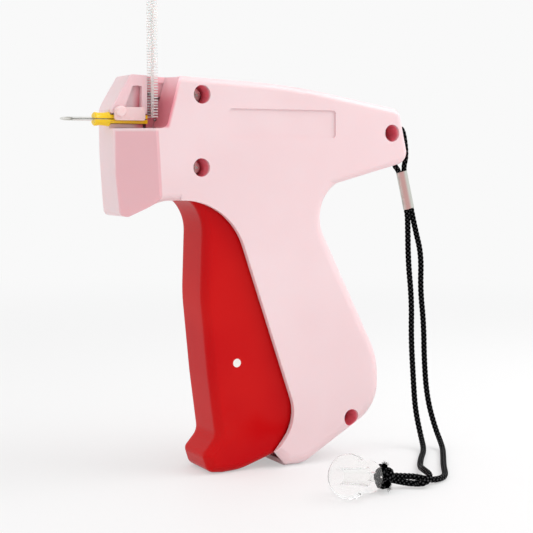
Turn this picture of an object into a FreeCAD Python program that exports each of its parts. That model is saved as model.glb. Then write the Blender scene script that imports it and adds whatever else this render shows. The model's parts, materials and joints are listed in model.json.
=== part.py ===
"""Garment tag attacher: a pistol-grip tool that pushes plastic fasteners through cloth.

Frame: millimetres, +Z up, needle pointing along -X, left side facing -Y.
The origin lies on the standing surface, below the middle of the tool.
One STEP file is written for each separate piece.
"""
import FreeCAD, Part
import math
import os

V = FreeCAD.Vector

# ---------------------------------------------------------------- housing
HALF_WIDTH = 12.5            # each moulded half, from the joint plane to its flat side
WALL = 2.0                   # housing wall
EDGE_ROUND = 2.4             # rounding of the barrel's side edges
GRIP_ROUND = 4.5             # rounding of the grip's side edges
NOSE_X = -47.5               # flat front of the nose
MOUTH_TOP_X = -22.9          # where the nose floor stops and the trigger mouth starts
FAR = 200.0                  # beyond the part on every side

# Side outlines, each corner as x, z, radius.
BARREL = [
    (-40.4, 136.9, 1.2),
    (16.0, 134.4, 260.0),
    (60.8, 126.8, 4.0),
    (65.2, 108.0, 4.6),
    (22.2, 97.1, 0.0),
    (-9.0, 95.2, 0.0),
    (-34.2, 95.0, 14.0),
    (-45.4, 88.6, 1.8),
    (NOSE_X, 111.0, 60.0),
    (NOSE_X, 125.2, 1.0),
]
NECK = (22.2, 97.1, 13.5)
GRIP = [
    (41.0, 112.0, 0.0),
    (41.0, 101.866, 0.0),
    NECK,
    (53.2, 36.5, 28.0),
    (53.3, 18.0, 15.5),
    (21.8, 0.0, 9.0),
    (13.2, 0.0, 3.0),
    (2.0, 12.66, 0.0),
    (-27.0, 30.0, 0.0),
    (-27.0, 112.0, 0.0),
]
MOUTH = [                    # the space in front of the grip, taken away
    (8.6, 5.2, 0.0),
    (18.2, 16.6, 15.0),
    (-9.0, 95.2, 24.0),
    (-31.0, 95.0254, 0.0),
    (-33.0, 88.0, 0.0),
    (-60.0, 60.0, 0.0),
    (-60.0, 5.2, 0.0),
]
MOUTH_OPENING = [            # cut between the side walls only
    (14.2, -1.0, 0.0),
    (14.2, 1.6, 0.0),
    (17.5, 1.9, 0.0),
    (24.0, 8.0, 0.0),
    (24.0, 20.0, 0.0),
    (2.0, 92.0, 0.0),
    (-8.0, 98.0, 0.0),
    (MOUTH_TOP_X, 98.0, 0.0),
    (MOUTH_TOP_X, 85.0, 0.0),
    (-60.0, 60.0, 0.0),
    (-60.0, -1.0, 0.0),
]
BEVEL_LEFT = (-3.9, -35.6)   # y on the nose front, x on the side face (at BEVEL_Z)
BEVEL_RIGHT = (9.2, -43.9)
BEVEL_Z = 118.0
BEVEL_LEAN = 1.2 / 22.0      # the left bevel widens downwards

WALL_LAP = 0.1               # how far a fitting runs into the wall that carries it
RIB_ROUND = 4.2              # round the lever pin's hole
RIB_BACK = [                 # back end of the ribs that carry the lever's pin
    (44.0, 77.0, 0.0),
    (52.0, 53.0, 0.0),
    (10.0, 52.0, 4.0),
]

# ---------------------------------------------------------------- open corner of the nose
LEDGE_Z = 118.9              # floor of the open corner
LEDGE_WALL = 1.8
SCOOP_R = 11.56
SCOOP_CENTRE = (-37.2, -6.0) # in plan, at SCOOP_TOP_Z
SCOOP_TOP_Z = 135.7
SCOOP_LEAN = 0.274           # backwards per mm of height
SCOOP_WALL = 1.6
SCOOP_FILLET = 2.5
SCOOP_HEIGHT = 30.0

# ---------------------------------------------------------------- needle and fasteners
NEEDLE_Z = 122.0
NEEDLE_TIP_X = -64.3
NEEDLE_BACK_X = -34.3
NEEDLE_R = 0.65
NEEDLE_SEAT_X = -53.3        # from here back it tapers, inside the base moulded round it
NEEDLE_BACK_R = 0.58
POINT_LENGTH = 5.2           # slanted opening at the point, on the -Y side
POINT_Y = 0.62
NEEDLE_BORE_R = 0.46
NEEDLE_SLOT = 0.34
HUB_FRONT_X = -53.0
HUB_BACK_X = -47.7
HUB_R = 2.4
HUB_WAIST = 0.28             # how far the hub narrows in its middle
HUB_EDGE = 0.4
SHANK_HALF = 1.4
SHANK_Y = (-1.8, 1.5)
CLIP_X = -32.8               # centre of the fasteners' inner bars
PITCH = 0.909                # fastener to fastener
FASTENERS = 49
BAR = 0.44                   # thickness of a fastener's bars
BAR_LENGTH = 1.8
FILAMENT = 4.6               # inner bar to outer bar
BAR_SPACE = 0.4              # from a bar to the side of its slot
SPINE_Y = -2.3
SPINE = 0.8

# ---------------------------------------------------------------- needle lock
LOCK_PIVOT = (-44.9, 124.55)
LOCK_Y = (-3.7, -2.3)
LOCK_KNOB_R = 1.75
LOCK_KNOB_Y = -5.0
LOCK_PIN_R = 0.75
LOCK_RISE = 1.45             # the latch's top above its pivot
LOCK_DROP = 0.4              # the latch reaches this far below the needle's axis
LOCK_BACK = 1.4              # from its free end to the plate's back edge
PLATE_Y = -2.0
PLATE_BACK_X = -34.6
PLATE_Z = NEEDLE_Z + 1.9
PLATE_WINDOW = [
    (-39.7, 133.1, 0.6),
    (-36.4, 133.2, 0.6),
    (-36.6, 125.9, 0.6),
    (-42.7, 125.7, 0.6),
]
CORNER_WALL_Y = (0.6, 1.8)   # wall in the right half that closes the open corner
CORNER_WALL_X = (-46.0, -27.3)
CLIP_WALL_X = -34.0          # behind the fasteners it also reaches down past the needle
CLIP_WALL_Z = 117.0
WHEEL_WINDOW = 0.3           # clearance round the toothed wheel and its sleeve
CRADLE_X = (-46.0, -35.4)    # shelves under and over the needle's shank
CRADLE_SPACE = 0.2
CRADLE_WALL = 1.2
GUIDE_X = (-30.6, -28.6)     # cross wall with the ejector rod's hole
GUIDE_Z = (NEEDLE_Z - 2.5, NEEDLE_Z + 2.3)

# ---------------------------------------------------------------- feed
GEAR_TEETH = 20
GEAR_PITCH_R = GEAR_TEETH * PITCH / (2 * math.pi)
GEAR_TIP_R = GEAR_PITCH_R + 0.2
GEAR_ROOT_R = GEAR_PITCH_R - 0.45
GEAR_Z = NEEDLE_Z + 6 * PITCH
GEAR_X = (-33.6, -32.0)
RATCHET_X = (-27.0, -25.4)
RATCHET_R = 3.62
RATCHET_DEPTH = 0.5
SLEEVE_R = 1.9
AXLE_R = 0.75
AXLE_WALLS_X = ((-36.2, -35.0), (-23.4, -22.2))
AXLE_WALL_Y = 1.2
AXLE_WALL_Z = (GEAR_Z - 1.75, GEAR_Z + 3.0)
AXLE_X = (AXLE_WALLS_X[0][0] + 0.1, AXLE_WALLS_X[1][1] - 0.1)
PAWL_PIVOT = (8.0, 131.0)    # y, z
PAWL_WALLS_X = ((-29.4, -28.2), (-23.4, -22.2))
PAWL_WALL_Y = 6.6
PAWL_WALL_HALF = 1.6
PAWL_AXLE_X = (PAWL_WALLS_X[0][0] + 0.2, PAWL_WALLS_X[1][1] - 0.4)
PAWL_TIP_SPACE = 0.16
PAWL_HUB_R = 1.25
PAWL_X = (-27.2, -25.2)
PAWL_PIN_R = 0.75
PAWL_SPRING_X = -23.7
PAWL_SPRING_TURNS = 3
PAWL_SPRING_WIRE_R = 0.16
PAWL_SPRING_CLEAR = 0.12

# ---------------------------------------------------------------- trigger and drive
TRIGGER_PIVOT = (-5.0, 100.0)
TRIGGER_PULL = 12.0          # degrees
TRIGGER_SPACE = 0.6          # each side, from the trigger to the housing wall
TRIGGER_HALF = HALF_WIDTH - WALL - TRIGGER_SPACE
TRIGGER_SIDE = 1.8
TRIGGER_FRONT = 2.2
TRIGGER_ROUND = 3.0
TRIGGER_LIP_X = -22.3        # the front flares forward to a lip under the nose
TRIGGER_TOP_Z = 98.8
EAR_R = 4.8
STUB_R = 2.5
STUB_END = TRIGGER_HALF - 1.6
TRIGGER = [
    (-16.9, 90.2, 14.0),
    (TRIGGER_LIP_X, 95.2, 0.0),
    (TRIGGER_LIP_X, TRIGGER_TOP_Z, 0.0),
    (-3.7, TRIGGER_TOP_Z, 0.0),
    (2.5, 97.5, 0.0),
    (5.2, 80.0, 30.0),
    (18.9, 36.0, 30.0),
    (18.6, 16.0, 8.0),
    (12.6, 5.2, 3.0),
    (-3.0, 0.3, 20.0),
    (-10.0, 0.0, 3.0),
    (-15.4, 0.6, 3.2),
    (-17.4, 7.0, 2.6),
    (-12.4, 12.6, 5.0),
    (-15.2, 34.0, 60.0),
    (-17.9, 62.0, 60.0),
]
TRIGGER_BACK = [             # taken out between the sides, so that the trigger is open behind
    (-9.0, 110.0, 0.0),
    (40.0, 110.0, 0.0),
    (40.0, 16.0, 0.0),
    (11.6, 8.2, 0.0),
    (-6.0, 12.0, 0.0),
    (-9.0, 60.0, 0.0),
]
LINK_PIN = (-5.1, 38.5)
LINK_PIN_R = 1.5
LEVER_PIVOT = (-1.0, 61.2)
LEVER_PIN_R = 1.5
LEVER_BOSS_R = 3.8
LEVER_HALF = 3.0
LEVER_ARM = 57.4
LEVER_REST = 18.0            # degrees that the upper arm leans back at rest
LEVER_TIP_R = 2.6
LEVER_SHOULDER = (45.0, 2.6) # distance from the pivot, half width there
LEVER_NECK = 1.75
LEVER_NECK_LENGTH = 3.2
LEVER_EYE_WALL = 1.7         # round the link pin's slot
LEVER_RIB_Y = (5.0, 7.2)
RUN_CLEAR = 0.05             # radial running clearance of a pin
LINK_CLEAR = 0.15            # play of the link pin in the lever's slot
LINK_SLOT = (22.2, 23.4)     # distance of the slot's ends from the lever's pivot
SLIDER_BACK = 7.0            # slider behind and in front of the lever's tip
SLIDER_FRONT = 9.0
SLIDER_Z = (113.4, 125.3)
SLIDER_HALF = 5.2
SLIDER_SLOT = 2.9
SLIDER_SLOT_TOP = 121.45
SLIDER_WALL = 1.4            # in front of the lever's slot
SLIDER_FRONT_WALL = 1.6
SLIDER_WEB_TOP = 118.2
TONGUE_Z = (120.6, 123.4)
TONGUE_SPACE = 0.7
TONGUE_HALF = HALF_WIDTH - WALL - TONGUE_SPACE
RAIL_CLEAR = 0.2
RAIL_HEIGHT = 2.0
RAIL_X = (-22.0, 27.0)
RAIL_Y = 6.0
ROD_R = 0.38
ROD_TIP_X = -31.4
ROD_BACK = 3.6               # from the rod's back end to the middle of the lever's tip
ROD_GUIDE_R = 0.5
ROD_SPACE = 0.25

# ---------------------------------------------------------------- return spring
SPRING_Z = 118.0
SPRING_R = 2.2
SPRING_WIRE_R = 0.3
SPRING_TURNS = 8
SPRING_COIL_X = (30.6, 47.0)
SPRING_EYE_R = 1.5           # eye through the slider's lug
SPRING_EYE_CLEAR = 0.1
SPRING_POST = (51.0, 0.8)    # x, radius
LUG_HOLE_R = 1.0
LUG_WALL = 0.6               # behind the lug's hole
LUG_LENGTH = 3.7
LUG_HALF = (0.9, 1.6)        # half thickness, half height

# ---------------------------------------------------------------- screws
SCREWS = {                   # x, z, depth of the well from the side face
    "front_upper": (-19.2, 130.3, 8.4),
    "front_lower": (-19.5, 106.0, 8.4),
    "rear": (57.0, 118.2, 9.6),
    "heel": (40.3, 15.3, 9.6),
}
WELL_R = 3.1
BOSS_R = 4.4
POST_R = 3.1
POST_BORE = 9.0              # depth of the screw's hole in the right half
BOSS_END_Y = -3.4
BOSS_FOOT_Y = -HALF_WIDTH + 0.3
SCREW_R = 1.4
SCREW_CLEAR = 0.15
SCREW_BITE = 0.1             # how far the thread cuts into the post
SCREW_HEAD_R = 2.7
SCREW_HEAD = 2.0
SCREW_HEAD_ROUND = 0.6
SCREW_LENGTH = 10.0
SCREW_POINT = (0.4, 1.2)     # radius at its end, length
CROSS = (1.5, 0.35, 1.0)     # half length, half width and depth of the head's cross
PEGS = [(20.0, 129.6), (46.4, 34.0)]
PEG_R = 1.2
PEG_POST_R = 2.6
PEG_LENGTH = 2.5
PEG_CLEAR = 0.1

# ---------------------------------------------------------------- label recess
LABEL_X = (-9.2, 33.0)
LABEL_Z = (116.2, 125.9)
LABEL_DEPTH = 0.6
LABEL_CORNER = 1.2

# ---------------------------------------------------------------- strap and cap
CORD_R = 0.95
STRAP_Y = -7.5
TUNNEL_R = 1.35
FERRULE_TOP = V(64.6, STRAP_Y, 104.3)
FERRULE_END = V(68.05, STRAP_Y, 90.6)
FERRULE_HALF = (2.2, 1.23)   # across both cords, across one
FERRULE_BORE = (1.96, 0.98)
CORD_GRIP = 3.0              # cord held inside the ferrule
LOOP = [                     # x, z of the loop through the rear corner
    (66.9, 109.5),
    (64.9, 120.3),
    (62.2, 118.6),
    (60.9, 106.8),
]
LOOP_RADII = [12.0, 1.9, 1.6, 2.2]
CORD_A = [
    (67.7, -7.5, 84.0),
    (68.0, -7.5, 71.0),
    (69.8, -7.5, 56.0),
    (69.7, -7.5, 42.0),
    (70.8, -7.5, 27.0),
    (71.6, -7.9, 14.5),
    (73.0, -10.0, 4.0),
    (69.0, -17.5, 1.0),
    (60.0, -28.0, 1.0),
    (52.0, -38.0, 1.0),
    (48.0, -47.5, 1.0),
    (40.0, -51.6, 1.4),
]
CORD_B = [
    (71.0, -7.5, 83.0),
    (74.0, -7.5, 73.0),
    (73.7, -7.5, 60.0),
    (75.4, -7.5, 47.0),
    (75.8, -7.5, 33.0),
    (77.0, -7.8, 19.0),
    (79.5, -9.5, 7.5),
    (78.2, -16.5, 1.0),
    (70.0, -28.0, 1.0),
    (60.5, -41.0, 1.0),
    (53.0, -53.0, 1.0),
    (42.0, -56.8, 1.2),
]
KNOT_CENTRE = V(26.2, -53.7, 4.4)
KNOT_HALF = 2.6
KNOT_R = 4.3
CAP_CENTRE = V(11.3, -57.2, 7.25)
CAP_AXIS = V(0.959, 0.216, -0.181)
CAP_PROFILE = [              # distance along the axis, radius
    (-5.4, 3.9),
    (-4.0, 5.95),
    (0.0, 7.2),
    (4.2, 5.9),
    (6.4, 5.3),
    (9.0, 5.35),
    (11.2, 4.0),
]
CAP_BORE_R = 2.6
CAP_BORE_LENGTH = 12.0
CAP_CORD_R = 1.3


# ================================================================ helpers
def pt(x, z, y=0.0):
    return V(x, y, z)


def turn_sign(before, here, after):
    """Positive where the outline turns right (outlines run clockwise)."""
    first = (here[0] - before[0], here[1] - before[1])
    second = (after[0] - here[0], after[1] - here[1])
    return first[1] * second[0] - first[0] * second[1]


def inset(corners, distance):
    """The same outline moved inwards, with its corner radii to match."""
    count = len(corners)
    lines = []
    for i in range(count):
        a, b = corners[i], corners[(i + 1) % count]
        length = math.hypot(b[0] - a[0], b[1] - a[1])
        dx, dz = (b[0] - a[0]) / length, (b[1] - a[1]) / length
        lines.append((a[0] + dz * distance, a[1] - dx * distance, dx, dz))
    moved = []
    for i in range(count):
        ax, az, adx, adz = lines[i - 1]
        bx, bz, bdx, bdz = lines[i]
        cross = adx * bdz - adz * bdx
        t = ((bx - ax) * bdz - (bz - az) * bdx) / cross
        outward = turn_sign(corners[i - 1], corners[i], corners[(i + 1) % count]) > 0
        radius = corners[i][2]
        if radius > 0:
            radius = max(radius - distance, 0.0) if outward else radius + distance
        moved.append((ax + adx * t, az + adz * t, radius))
    return moved


def rounded_edges(points, radii, closed):
    """Straight runs and tangent arcs through points, as a list of edges."""
    count = len(points)
    starts, ends, arcs = [], [], []
    for i, here in enumerate(points):
        if not closed and i in (0, count - 1):
            starts.append(here)
            ends.append(here)
            arcs.append(None)
            continue
        before, after = points[i - 1], points[(i + 1) % count]
        back = (before - here).normalize()
        on = (after - here).normalize()
        half = back.getAngle(on) / 2
        reach = radii[i] / math.tan(half)
        starts.append(here + back * reach)
        ends.append(here + on * reach)
        bisector = (back + on).normalize()
        middle = here + bisector * (radii[i] / math.sin(half) - radii[i])
        arcs.append(middle if radii[i] > 0 else None)
    edges = []
    for i in range(count):
        if arcs[i] is not None:
            edges.append(Part.Arc(starts[i], arcs[i], ends[i]).toShape())
        if closed or i < count - 1:
            following = starts[(i + 1) % count]
            if (following - ends[i]).Length > 1e-6:
                edges.append(Part.LineSegment(ends[i], following).toShape())
    return edges


def prism(corners, y0, y1):
    """Solid with the given side outline between two y planes."""
    points = [pt(c[0], c[1], y0) for c in corners]
    wire = Part.Wire(rounded_edges(points, [c[2] for c in corners], True))
    return Part.Face(wire).extrude(V(0, y1 - y0, 0))


def box(x, y, z):
    """Box from three (low, high) pairs."""
    return Part.makeBox(x[1] - x[0], y[1] - y[0], z[1] - z[0], V(x[0], y[0], z[0]))


def rod_y(x, z, radius, y0, y1):
    """Round bar along Y."""
    return Part.makeCylinder(radius, y1 - y0, V(x, y0, z), V(0, 1, 0))


def rod_x(y, z, radius, x0, x1):
    """Round bar along X."""
    return Part.makeCylinder(radius, x1 - x0, V(x0, y, z), V(1, 0, 0))


def mirrored(shape):
    return shape.mirror(V(0, 0, 0), V(0, 1, 0))


def side_edges(solid, half, keep):
    """Edges of both flat sides whose middle point passes the keep test."""
    found = []
    for edge in solid.Edges:
        bounds = edge.BoundBox
        if bounds.YLength < 1e-6 and abs(abs(bounds.YMin) - half) < 1e-6:
            middle = edge.valueAt((edge.FirstParameter + edge.LastParameter) / 2)
            if keep(middle):
                found.append(edge)
    return found


def fuse(first, others):
    """Union, with coplanar faces merged."""
    return first.fuse(others).removeSplitter()


def round_cord(points, radius, edges_radii=None):
    """Cord along straight runs joined by tangent arcs, each as wide as its runs allow."""
    radii = [0.0] * len(points)
    for i in range(1, len(points) - 1):
        before = points[i] - points[i - 1]
        after = points[i + 1] - points[i]
        turn = before.getAngle(after)
        if edges_radii:
            radii[i] = edges_radii[i - 1]
        else:
            radii[i] = 0.45 * min(before.Length, after.Length) / math.tan(turn / 2)
    wire = Part.Wire(rounded_edges(points, radii, False))
    start = (points[1] - points[0]).normalize()
    circle = Part.Wire(Part.Circle(points[0], start, radius).toShape())
    tube = wire.makePipeShell([circle], True, False)
    expected = math.pi * radius * radius * wire.Length
    print("cord", round(wire.Length, 1), "mm, tightest radius", round(min(radii[1:-1]), 1),
          "volume ratio", round(tube.Volume / expected, 4))
    return tube


# ================================================================ housing
def bevel_cutter(side, depth):
    """Everything in front of the nose's slanted corner, moved inwards by depth."""
    front_y, side_x = BEVEL_LEFT if side < 0 else BEVEL_RIGHT
    lean = BEVEL_LEAN if side < 0 else 0.0
    sections = []
    for z in (0.0, FAR):
        a = V(NOSE_X, front_y, z)
        b = V(side_x + (BEVEL_Z - z) * lean, side * HALF_WIDTH, z)
        along = (b - a).normalize()
        inward = V(-along.y * side, along.x * side, 0) * -1.0
        if inward.x < 0:
            inward = inward * -1.0
        start = a - along * 10 + inward * depth
        end = b + along * 10 + inward * depth
        corners = [start, end, end - inward * 40, start - inward * 40, start]
        sections.append(Part.makePolygon(corners))
    return Part.makeLoft(sections, True, True)


def barrel_body(depth):
    """Barrel and nose; depth moves every face inwards, to make the hollow."""
    half = HALF_WIDTH - depth
    outline = BARREL if depth == 0 else inset(BARREL, depth)
    body = prism(outline, -half, half)
    if depth == 0:
        body = body.makeFillet(EDGE_ROUND, side_edges(body, half, lambda m: True))
    return body.cut([bevel_cutter(-1, depth), bevel_cutter(1, depth)])


def grip_body(depth):
    """Grip, with its back and heel edges rounded."""
    half = HALF_WIDTH - depth
    outline = GRIP if depth == 0 else inset(GRIP, depth)
    body = prism(outline, -half, half)
    rounded = side_edges(body, half, lambda m: m.x > 7.5 and m.z < 100.0)
    return body.makeFillet(GRIP_ROUND - depth, rounded)


def housing_body():
    """Outside of both halves together."""
    body = barrel_body(0).fuse(grip_body(0))
    return body.cut(prism(MOUTH, -FAR, FAR)).removeSplitter()


def housing_hollow():
    """Inside of both halves together, open at the trigger mouth."""
    inner = HALF_WIDTH - WALL
    hollow = barrel_body(WALL).fuse(grip_body(WALL))
    return hollow.fuse(prism(MOUTH_OPENING, -inner, inner))


def scoop(grow):
    """The open corner of the nose, above the ledge and in front of a slanted scoop."""
    z0 = LEDGE_Z - (LEDGE_WALL if grow else 0.0)
    radius = SCOOP_R + (SCOOP_WALL if grow else 0.0)
    cx = SCOOP_CENTRE[0] + (z0 - SCOOP_TOP_Z) * SCOOP_LEAN
    cy = SCOOP_CENTRE[1]
    side_y, seam_y = -HALF_WIDTH - 1.0, 0.5
    side_x = cx + math.sqrt(radius ** 2 - (side_y - cy) ** 2)
    seam_x = cx + math.sqrt(radius ** 2 - (seam_y - cy) ** 2)
    seam, back, side = V(seam_x, seam_y, z0), V(cx + radius, cy, z0), V(side_x, side_y, z0)
    outer_corner, front_corner = V(-70, side_y, z0), V(-70, seam_y, z0)
    edges = [
        Part.Arc(seam, back, side).toShape(),
        Part.LineSegment(side, outer_corner).toShape(),
        Part.LineSegment(outer_corner, front_corner).toShape(),
        Part.LineSegment(front_corner, seam).toShape(),
    ]
    upward = V(SCOOP_LEAN * SCOOP_HEIGHT, 0, SCOOP_HEIGHT)
    solid = Part.Face(Part.Wire(edges)).extrude(upward)
    bottom = []
    for edge in solid.Edges:
        middle = edge.valueAt((edge.FirstParameter + edge.LastParameter) / 2)
        if edge.BoundBox.ZLength < 1e-6 and abs(middle.z - z0) < 1e-6 and middle.x > cx + 1:
            bottom.append(edge)
    fillet = SCOOP_FILLET + (SCOOP_WALL if grow else 0.0)
    return solid.makeFillet(fillet, bottom)


def common_inside(side):
    """Rails, pivot stub and lever rib on one half (side -1 left, +1 right)."""
    wall = HALF_WIDTH - WALL + WALL_LAP
    low_rail = (TONGUE_Z[0] - RAIL_CLEAR - RAIL_HEIGHT, TONGUE_Z[0] - RAIL_CLEAR)
    high_rail = (TONGUE_Z[1] + RAIL_CLEAR, TONGUE_Z[1] + RAIL_CLEAR + RAIL_HEIGHT - 0.2)
    rails = [box(RAIL_X, (RAIL_Y, wall), z) for z in (low_rail, high_rail)]
    stub = rod_y(TRIGGER_PIVOT[0], TRIGGER_PIVOT[1], STUB_R, STUB_END, wall)
    x, z = LEVER_PIVOT
    outline = [(x, z + RIB_ROUND, 0.0)] + RIB_BACK + [(x, z - RIB_ROUND, 0.0)]
    rib = prism(outline, LEVER_RIB_Y[0], LEVER_RIB_Y[1])
    boss = rod_y(x, z, RIB_ROUND, LEVER_RIB_Y[0], LEVER_RIB_Y[1])
    hole = rod_y(x, z, LEVER_PIN_R, LEVER_RIB_Y[0] - 1, LEVER_RIB_Y[1] + 1)
    rib = rib.fuse(boss).cut(hole)
    pieces = rails + [stub, rib]
    return pieces if side > 0 else [mirrored(piece) for piece in pieces]


def clip_slot_x():
    """Front and back of the slot that the fasteners run down."""
    half = BAR_LENGTH / 2 + BAR_SPACE
    return CLIP_X - half, CLIP_X + half


def left_housing(body, hollow):
    """Left half: screw wells, bare label recess, open nose corner and strap tunnel."""
    keep = box((-FAR, FAR), (-FAR, 0), (-FAR, FAR))
    half = body.common(keep)
    inside = hollow.cut(scoop(True))
    shell = half.cut(inside)
    added = common_inside(-1)
    for x, z, depth in SCREWS.values():
        seat = -HALF_WIDTH + depth
        added.append(rod_y(x, z, BOSS_R, BOSS_FOOT_Y, max(seat + 0.7, BOSS_END_Y)))
        added.append(rod_y(x, z, POST_R, BOSS_FOOT_Y, 0))
    for x, z in PEGS:
        added.append(rod_y(x, z, PEG_POST_R, BOSS_FOOT_Y, 0))
    added = [piece.common(half) for piece in added]
    shell = shell.fuse(added)
    shell = shell.fuse([rod_y(x, z, PEG_R, -0.5, PEG_LENGTH) for x, z in PEGS])
    removed = [scoop(False)]
    for x, z, depth in SCREWS.values():
        removed.append(rod_y(x, z, WELL_R, -HALF_WIDTH - 1, -HALF_WIDTH + depth))
        removed.append(rod_y(x, z, SCREW_R + SCREW_CLEAR, -HALF_WIDTH, 1))
    label = [
        (LABEL_X[0], LABEL_Z[1], LABEL_CORNER),
        (LABEL_X[1], LABEL_Z[1], LABEL_CORNER),
        (LABEL_X[1], LABEL_Z[0], LABEL_CORNER),
        (LABEL_X[0], LABEL_Z[0], LABEL_CORNER),
    ]
    removed.append(prism(label, -HALF_WIDTH - 1, -HALF_WIDTH + LABEL_DEPTH))
    removed.append(rod_x(0, NEEDLE_Z, ROD_R + ROD_SPACE, CLIP_X, RAIL_X[0]))
    slot_y = (-FILAMENT - BAR / 2 - BAR_SPACE, 0.5)
    removed.append(box(clip_slot_x(), slot_y, (LEDGE_Z - LEDGE_WALL - 1, FAR)))
    removed.append(strap_tunnel())
    return shell.cut(removed).removeSplitter()


def corner_wall():
    """Wall behind the open corner, with windows for the toothed wheel and its sleeve."""
    upper = box(CORNER_WALL_X, CORNER_WALL_Y, (PLATE_Z + 0.1, FAR))
    lower = box((CLIP_WALL_X, CORNER_WALL_X[1]), CORNER_WALL_Y, (CLIP_WALL_Z, PLATE_Z + 1))
    wheel_x = (GEAR_X[0] - WHEEL_WINDOW, GEAR_X[1] + WHEEL_WINDOW)
    wheel_r = GEAR_TIP_R + WHEEL_WINDOW
    sleeve_x = (GEAR_X[0] - 1.5, 0)
    sleeve_r = SLEEVE_R + WHEEL_WINDOW
    windows = [
        box(wheel_x, (0, 3), (GEAR_Z - wheel_r, GEAR_Z + wheel_r)),
        box(sleeve_x, (0, 3), (GEAR_Z - sleeve_r, GEAR_Z + sleeve_r)),
    ]
    return [upper.cut(windows), lower.cut(windows)]


def right_housing(body, hollow):
    """Right half: screw posts, needle cradle, rod guide and feed brackets."""
    keep = box((-FAR, FAR), (0, FAR), (-FAR, FAR))
    half = body.common(keep)
    shell = half.cut(hollow)
    wall = HALF_WIDTH - WALL + WALL_LAP
    added = common_inside(1)
    for x, z, depth in SCREWS.values():
        added.append(rod_y(x, z, POST_R, 0, wall))
    for x, z in PEGS:
        added.append(rod_y(x, z, PEG_POST_R, 0, wall))
    shank_half = SHANK_HALF + CRADLE_SPACE
    cradle_half = shank_half + CRADLE_WALL
    added.append(box(CRADLE_X, (0, wall), (NEEDLE_Z - cradle_half, NEEDLE_Z + cradle_half)))
    added.append(box(GUIDE_X, (0, wall), GUIDE_Z))
    added.extend([box(x, (AXLE_WALL_Y, wall), AXLE_WALL_Z) for x in AXLE_WALLS_X])
    pawl_y, pawl_z = PAWL_PIVOT
    pawl_wall_z = (pawl_z - PAWL_WALL_HALF, pawl_z + PAWL_WALL_HALF)
    added.extend([box(x, (PAWL_WALL_Y, wall), pawl_wall_z) for x in PAWL_WALLS_X])
    added.extend(corner_wall())
    post_x = SPRING_POST[0]
    added.append(box((post_x - 1.5, post_x + 1.5), (1.6, wall), (SPRING_Z - 2, SPRING_Z + 2)))
    added = [piece.common(half) for piece in added]
    shell = shell.fuse(added)
    shell = shell.fuse(rod_y(post_x, SPRING_Z, SPRING_POST[1], -1.6, 2.0))
    removed = [box((-FAR, CRADLE_X[1] + 0.4), (-1, SHANK_Y[1] + 0.3),
                   (NEEDLE_Z - shank_half, NEEDLE_Z + shank_half))]
    removed.append(rod_x(0, NEEDLE_Z, ROD_GUIDE_R, GUIDE_X[0] - 0.4, GUIDE_X[1] + 0.6))
    removed.append(rod_x(GEAR_PITCH_R, GEAR_Z, AXLE_R, AXLE_X[0], AXLE_X[1]))
    pawl_hole_r = PAWL_PIN_R + RUN_CLEAR
    removed.append(rod_x(pawl_y, pawl_z, pawl_hole_r, PAWL_AXLE_X[0] - 0.1, PAWL_AXLE_X[1] + 0.3))
    removed.append(box(clip_slot_x(), (-1, BAR / 2 + 0.3), (GEAR_Z, FAR)))
    for x, z, depth in SCREWS.values():
        removed.append(rod_y(x, z, SCREW_R - SCREW_BITE, -1, POST_BORE))
    for x, z in PEGS:
        removed.append(rod_y(x, z, PEG_R + PEG_CLEAR, -1, PEG_LENGTH + 0.5))
    return shell.cut(removed).removeSplitter()


def nose_plate(body):
    """Upright plate behind the open corner, with a triangular window."""
    plate = box((NOSE_X + 0.1, PLATE_BACK_X), (PLATE_Y, 0), (PLATE_Z, FAR)).common(body)
    x, z = LOCK_PIVOT
    hole = rod_y(x, z, LOCK_PIN_R + RUN_CLEAR, PLATE_Y - 1, 1)
    return plate.cut([prism(PLATE_WINDOW, PLATE_Y - 1, 1), hole])


def housing_screw(name):
    """Pan-head screw with a cross recess."""
    x, z, depth = SCREWS[name]
    seat = -HALF_WIDTH + depth
    top = seat - SCREW_HEAD
    head = rod_y(x, z, SCREW_HEAD_R, top, seat)
    rim = [e for e in head.Edges if abs(e.BoundBox.YMax - top) < 1e-6]
    head = head.makeFillet(SCREW_HEAD_ROUND, rim)
    shank = rod_y(x, z, SCREW_R, seat, seat + SCREW_LENGTH)
    tip_r, tip_length = SCREW_POINT
    tip = Part.makeCone(SCREW_R, tip_r, tip_length, V(x, seat + SCREW_LENGTH, z), V(0, 1, 0))
    long, short, deep = CROSS
    cross = [
        box((x - long, x + long), (top - 1, top + deep), (z - short, z + short)),
        box((x - short, x + short), (top - 1, top + deep), (z - long, z + long)),
    ]
    return head.fuse([shank, tip]).cut(cross).removeSplitter()


# ================================================================ trigger and drive
def trigger():
    """Channel-shaped trigger, flared forward at the top and open at the back."""
    x, z = TRIGGER_PIVOT
    solid = prism(TRIGGER, -TRIGGER_HALF, TRIGGER_HALF)
    front = side_edges(solid, TRIGGER_HALF, lambda m: m.x < -9.0 and m.z < TRIGGER_TOP_Z - 1.0)
    solid = solid.makeFillet(TRIGGER_ROUND, front)
    ear = rod_y(x, z, EAR_R, -TRIGGER_HALF, TRIGGER_HALF)
    solid = fuse(solid, ear)
    inner = TRIGGER_HALF - TRIGGER_SIDE
    raised = [(cx, cz + FAR if cz == TRIGGER_TOP_Z else cz, r) for cx, cz, r in TRIGGER]
    hollow = prism(inset(raised, TRIGGER_FRONT), -inner, inner)
    open_back = prism(TRIGGER_BACK, -inner, inner)
    hole = rod_y(x, z, STUB_R + RUN_CLEAR, -FAR, FAR)
    link_x, link_z = LINK_PIN
    link = rod_y(link_x, link_z, LINK_PIN_R, -FAR, FAR)
    return solid.cut([hollow, open_back, hole, link]).removeSplitter()


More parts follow.
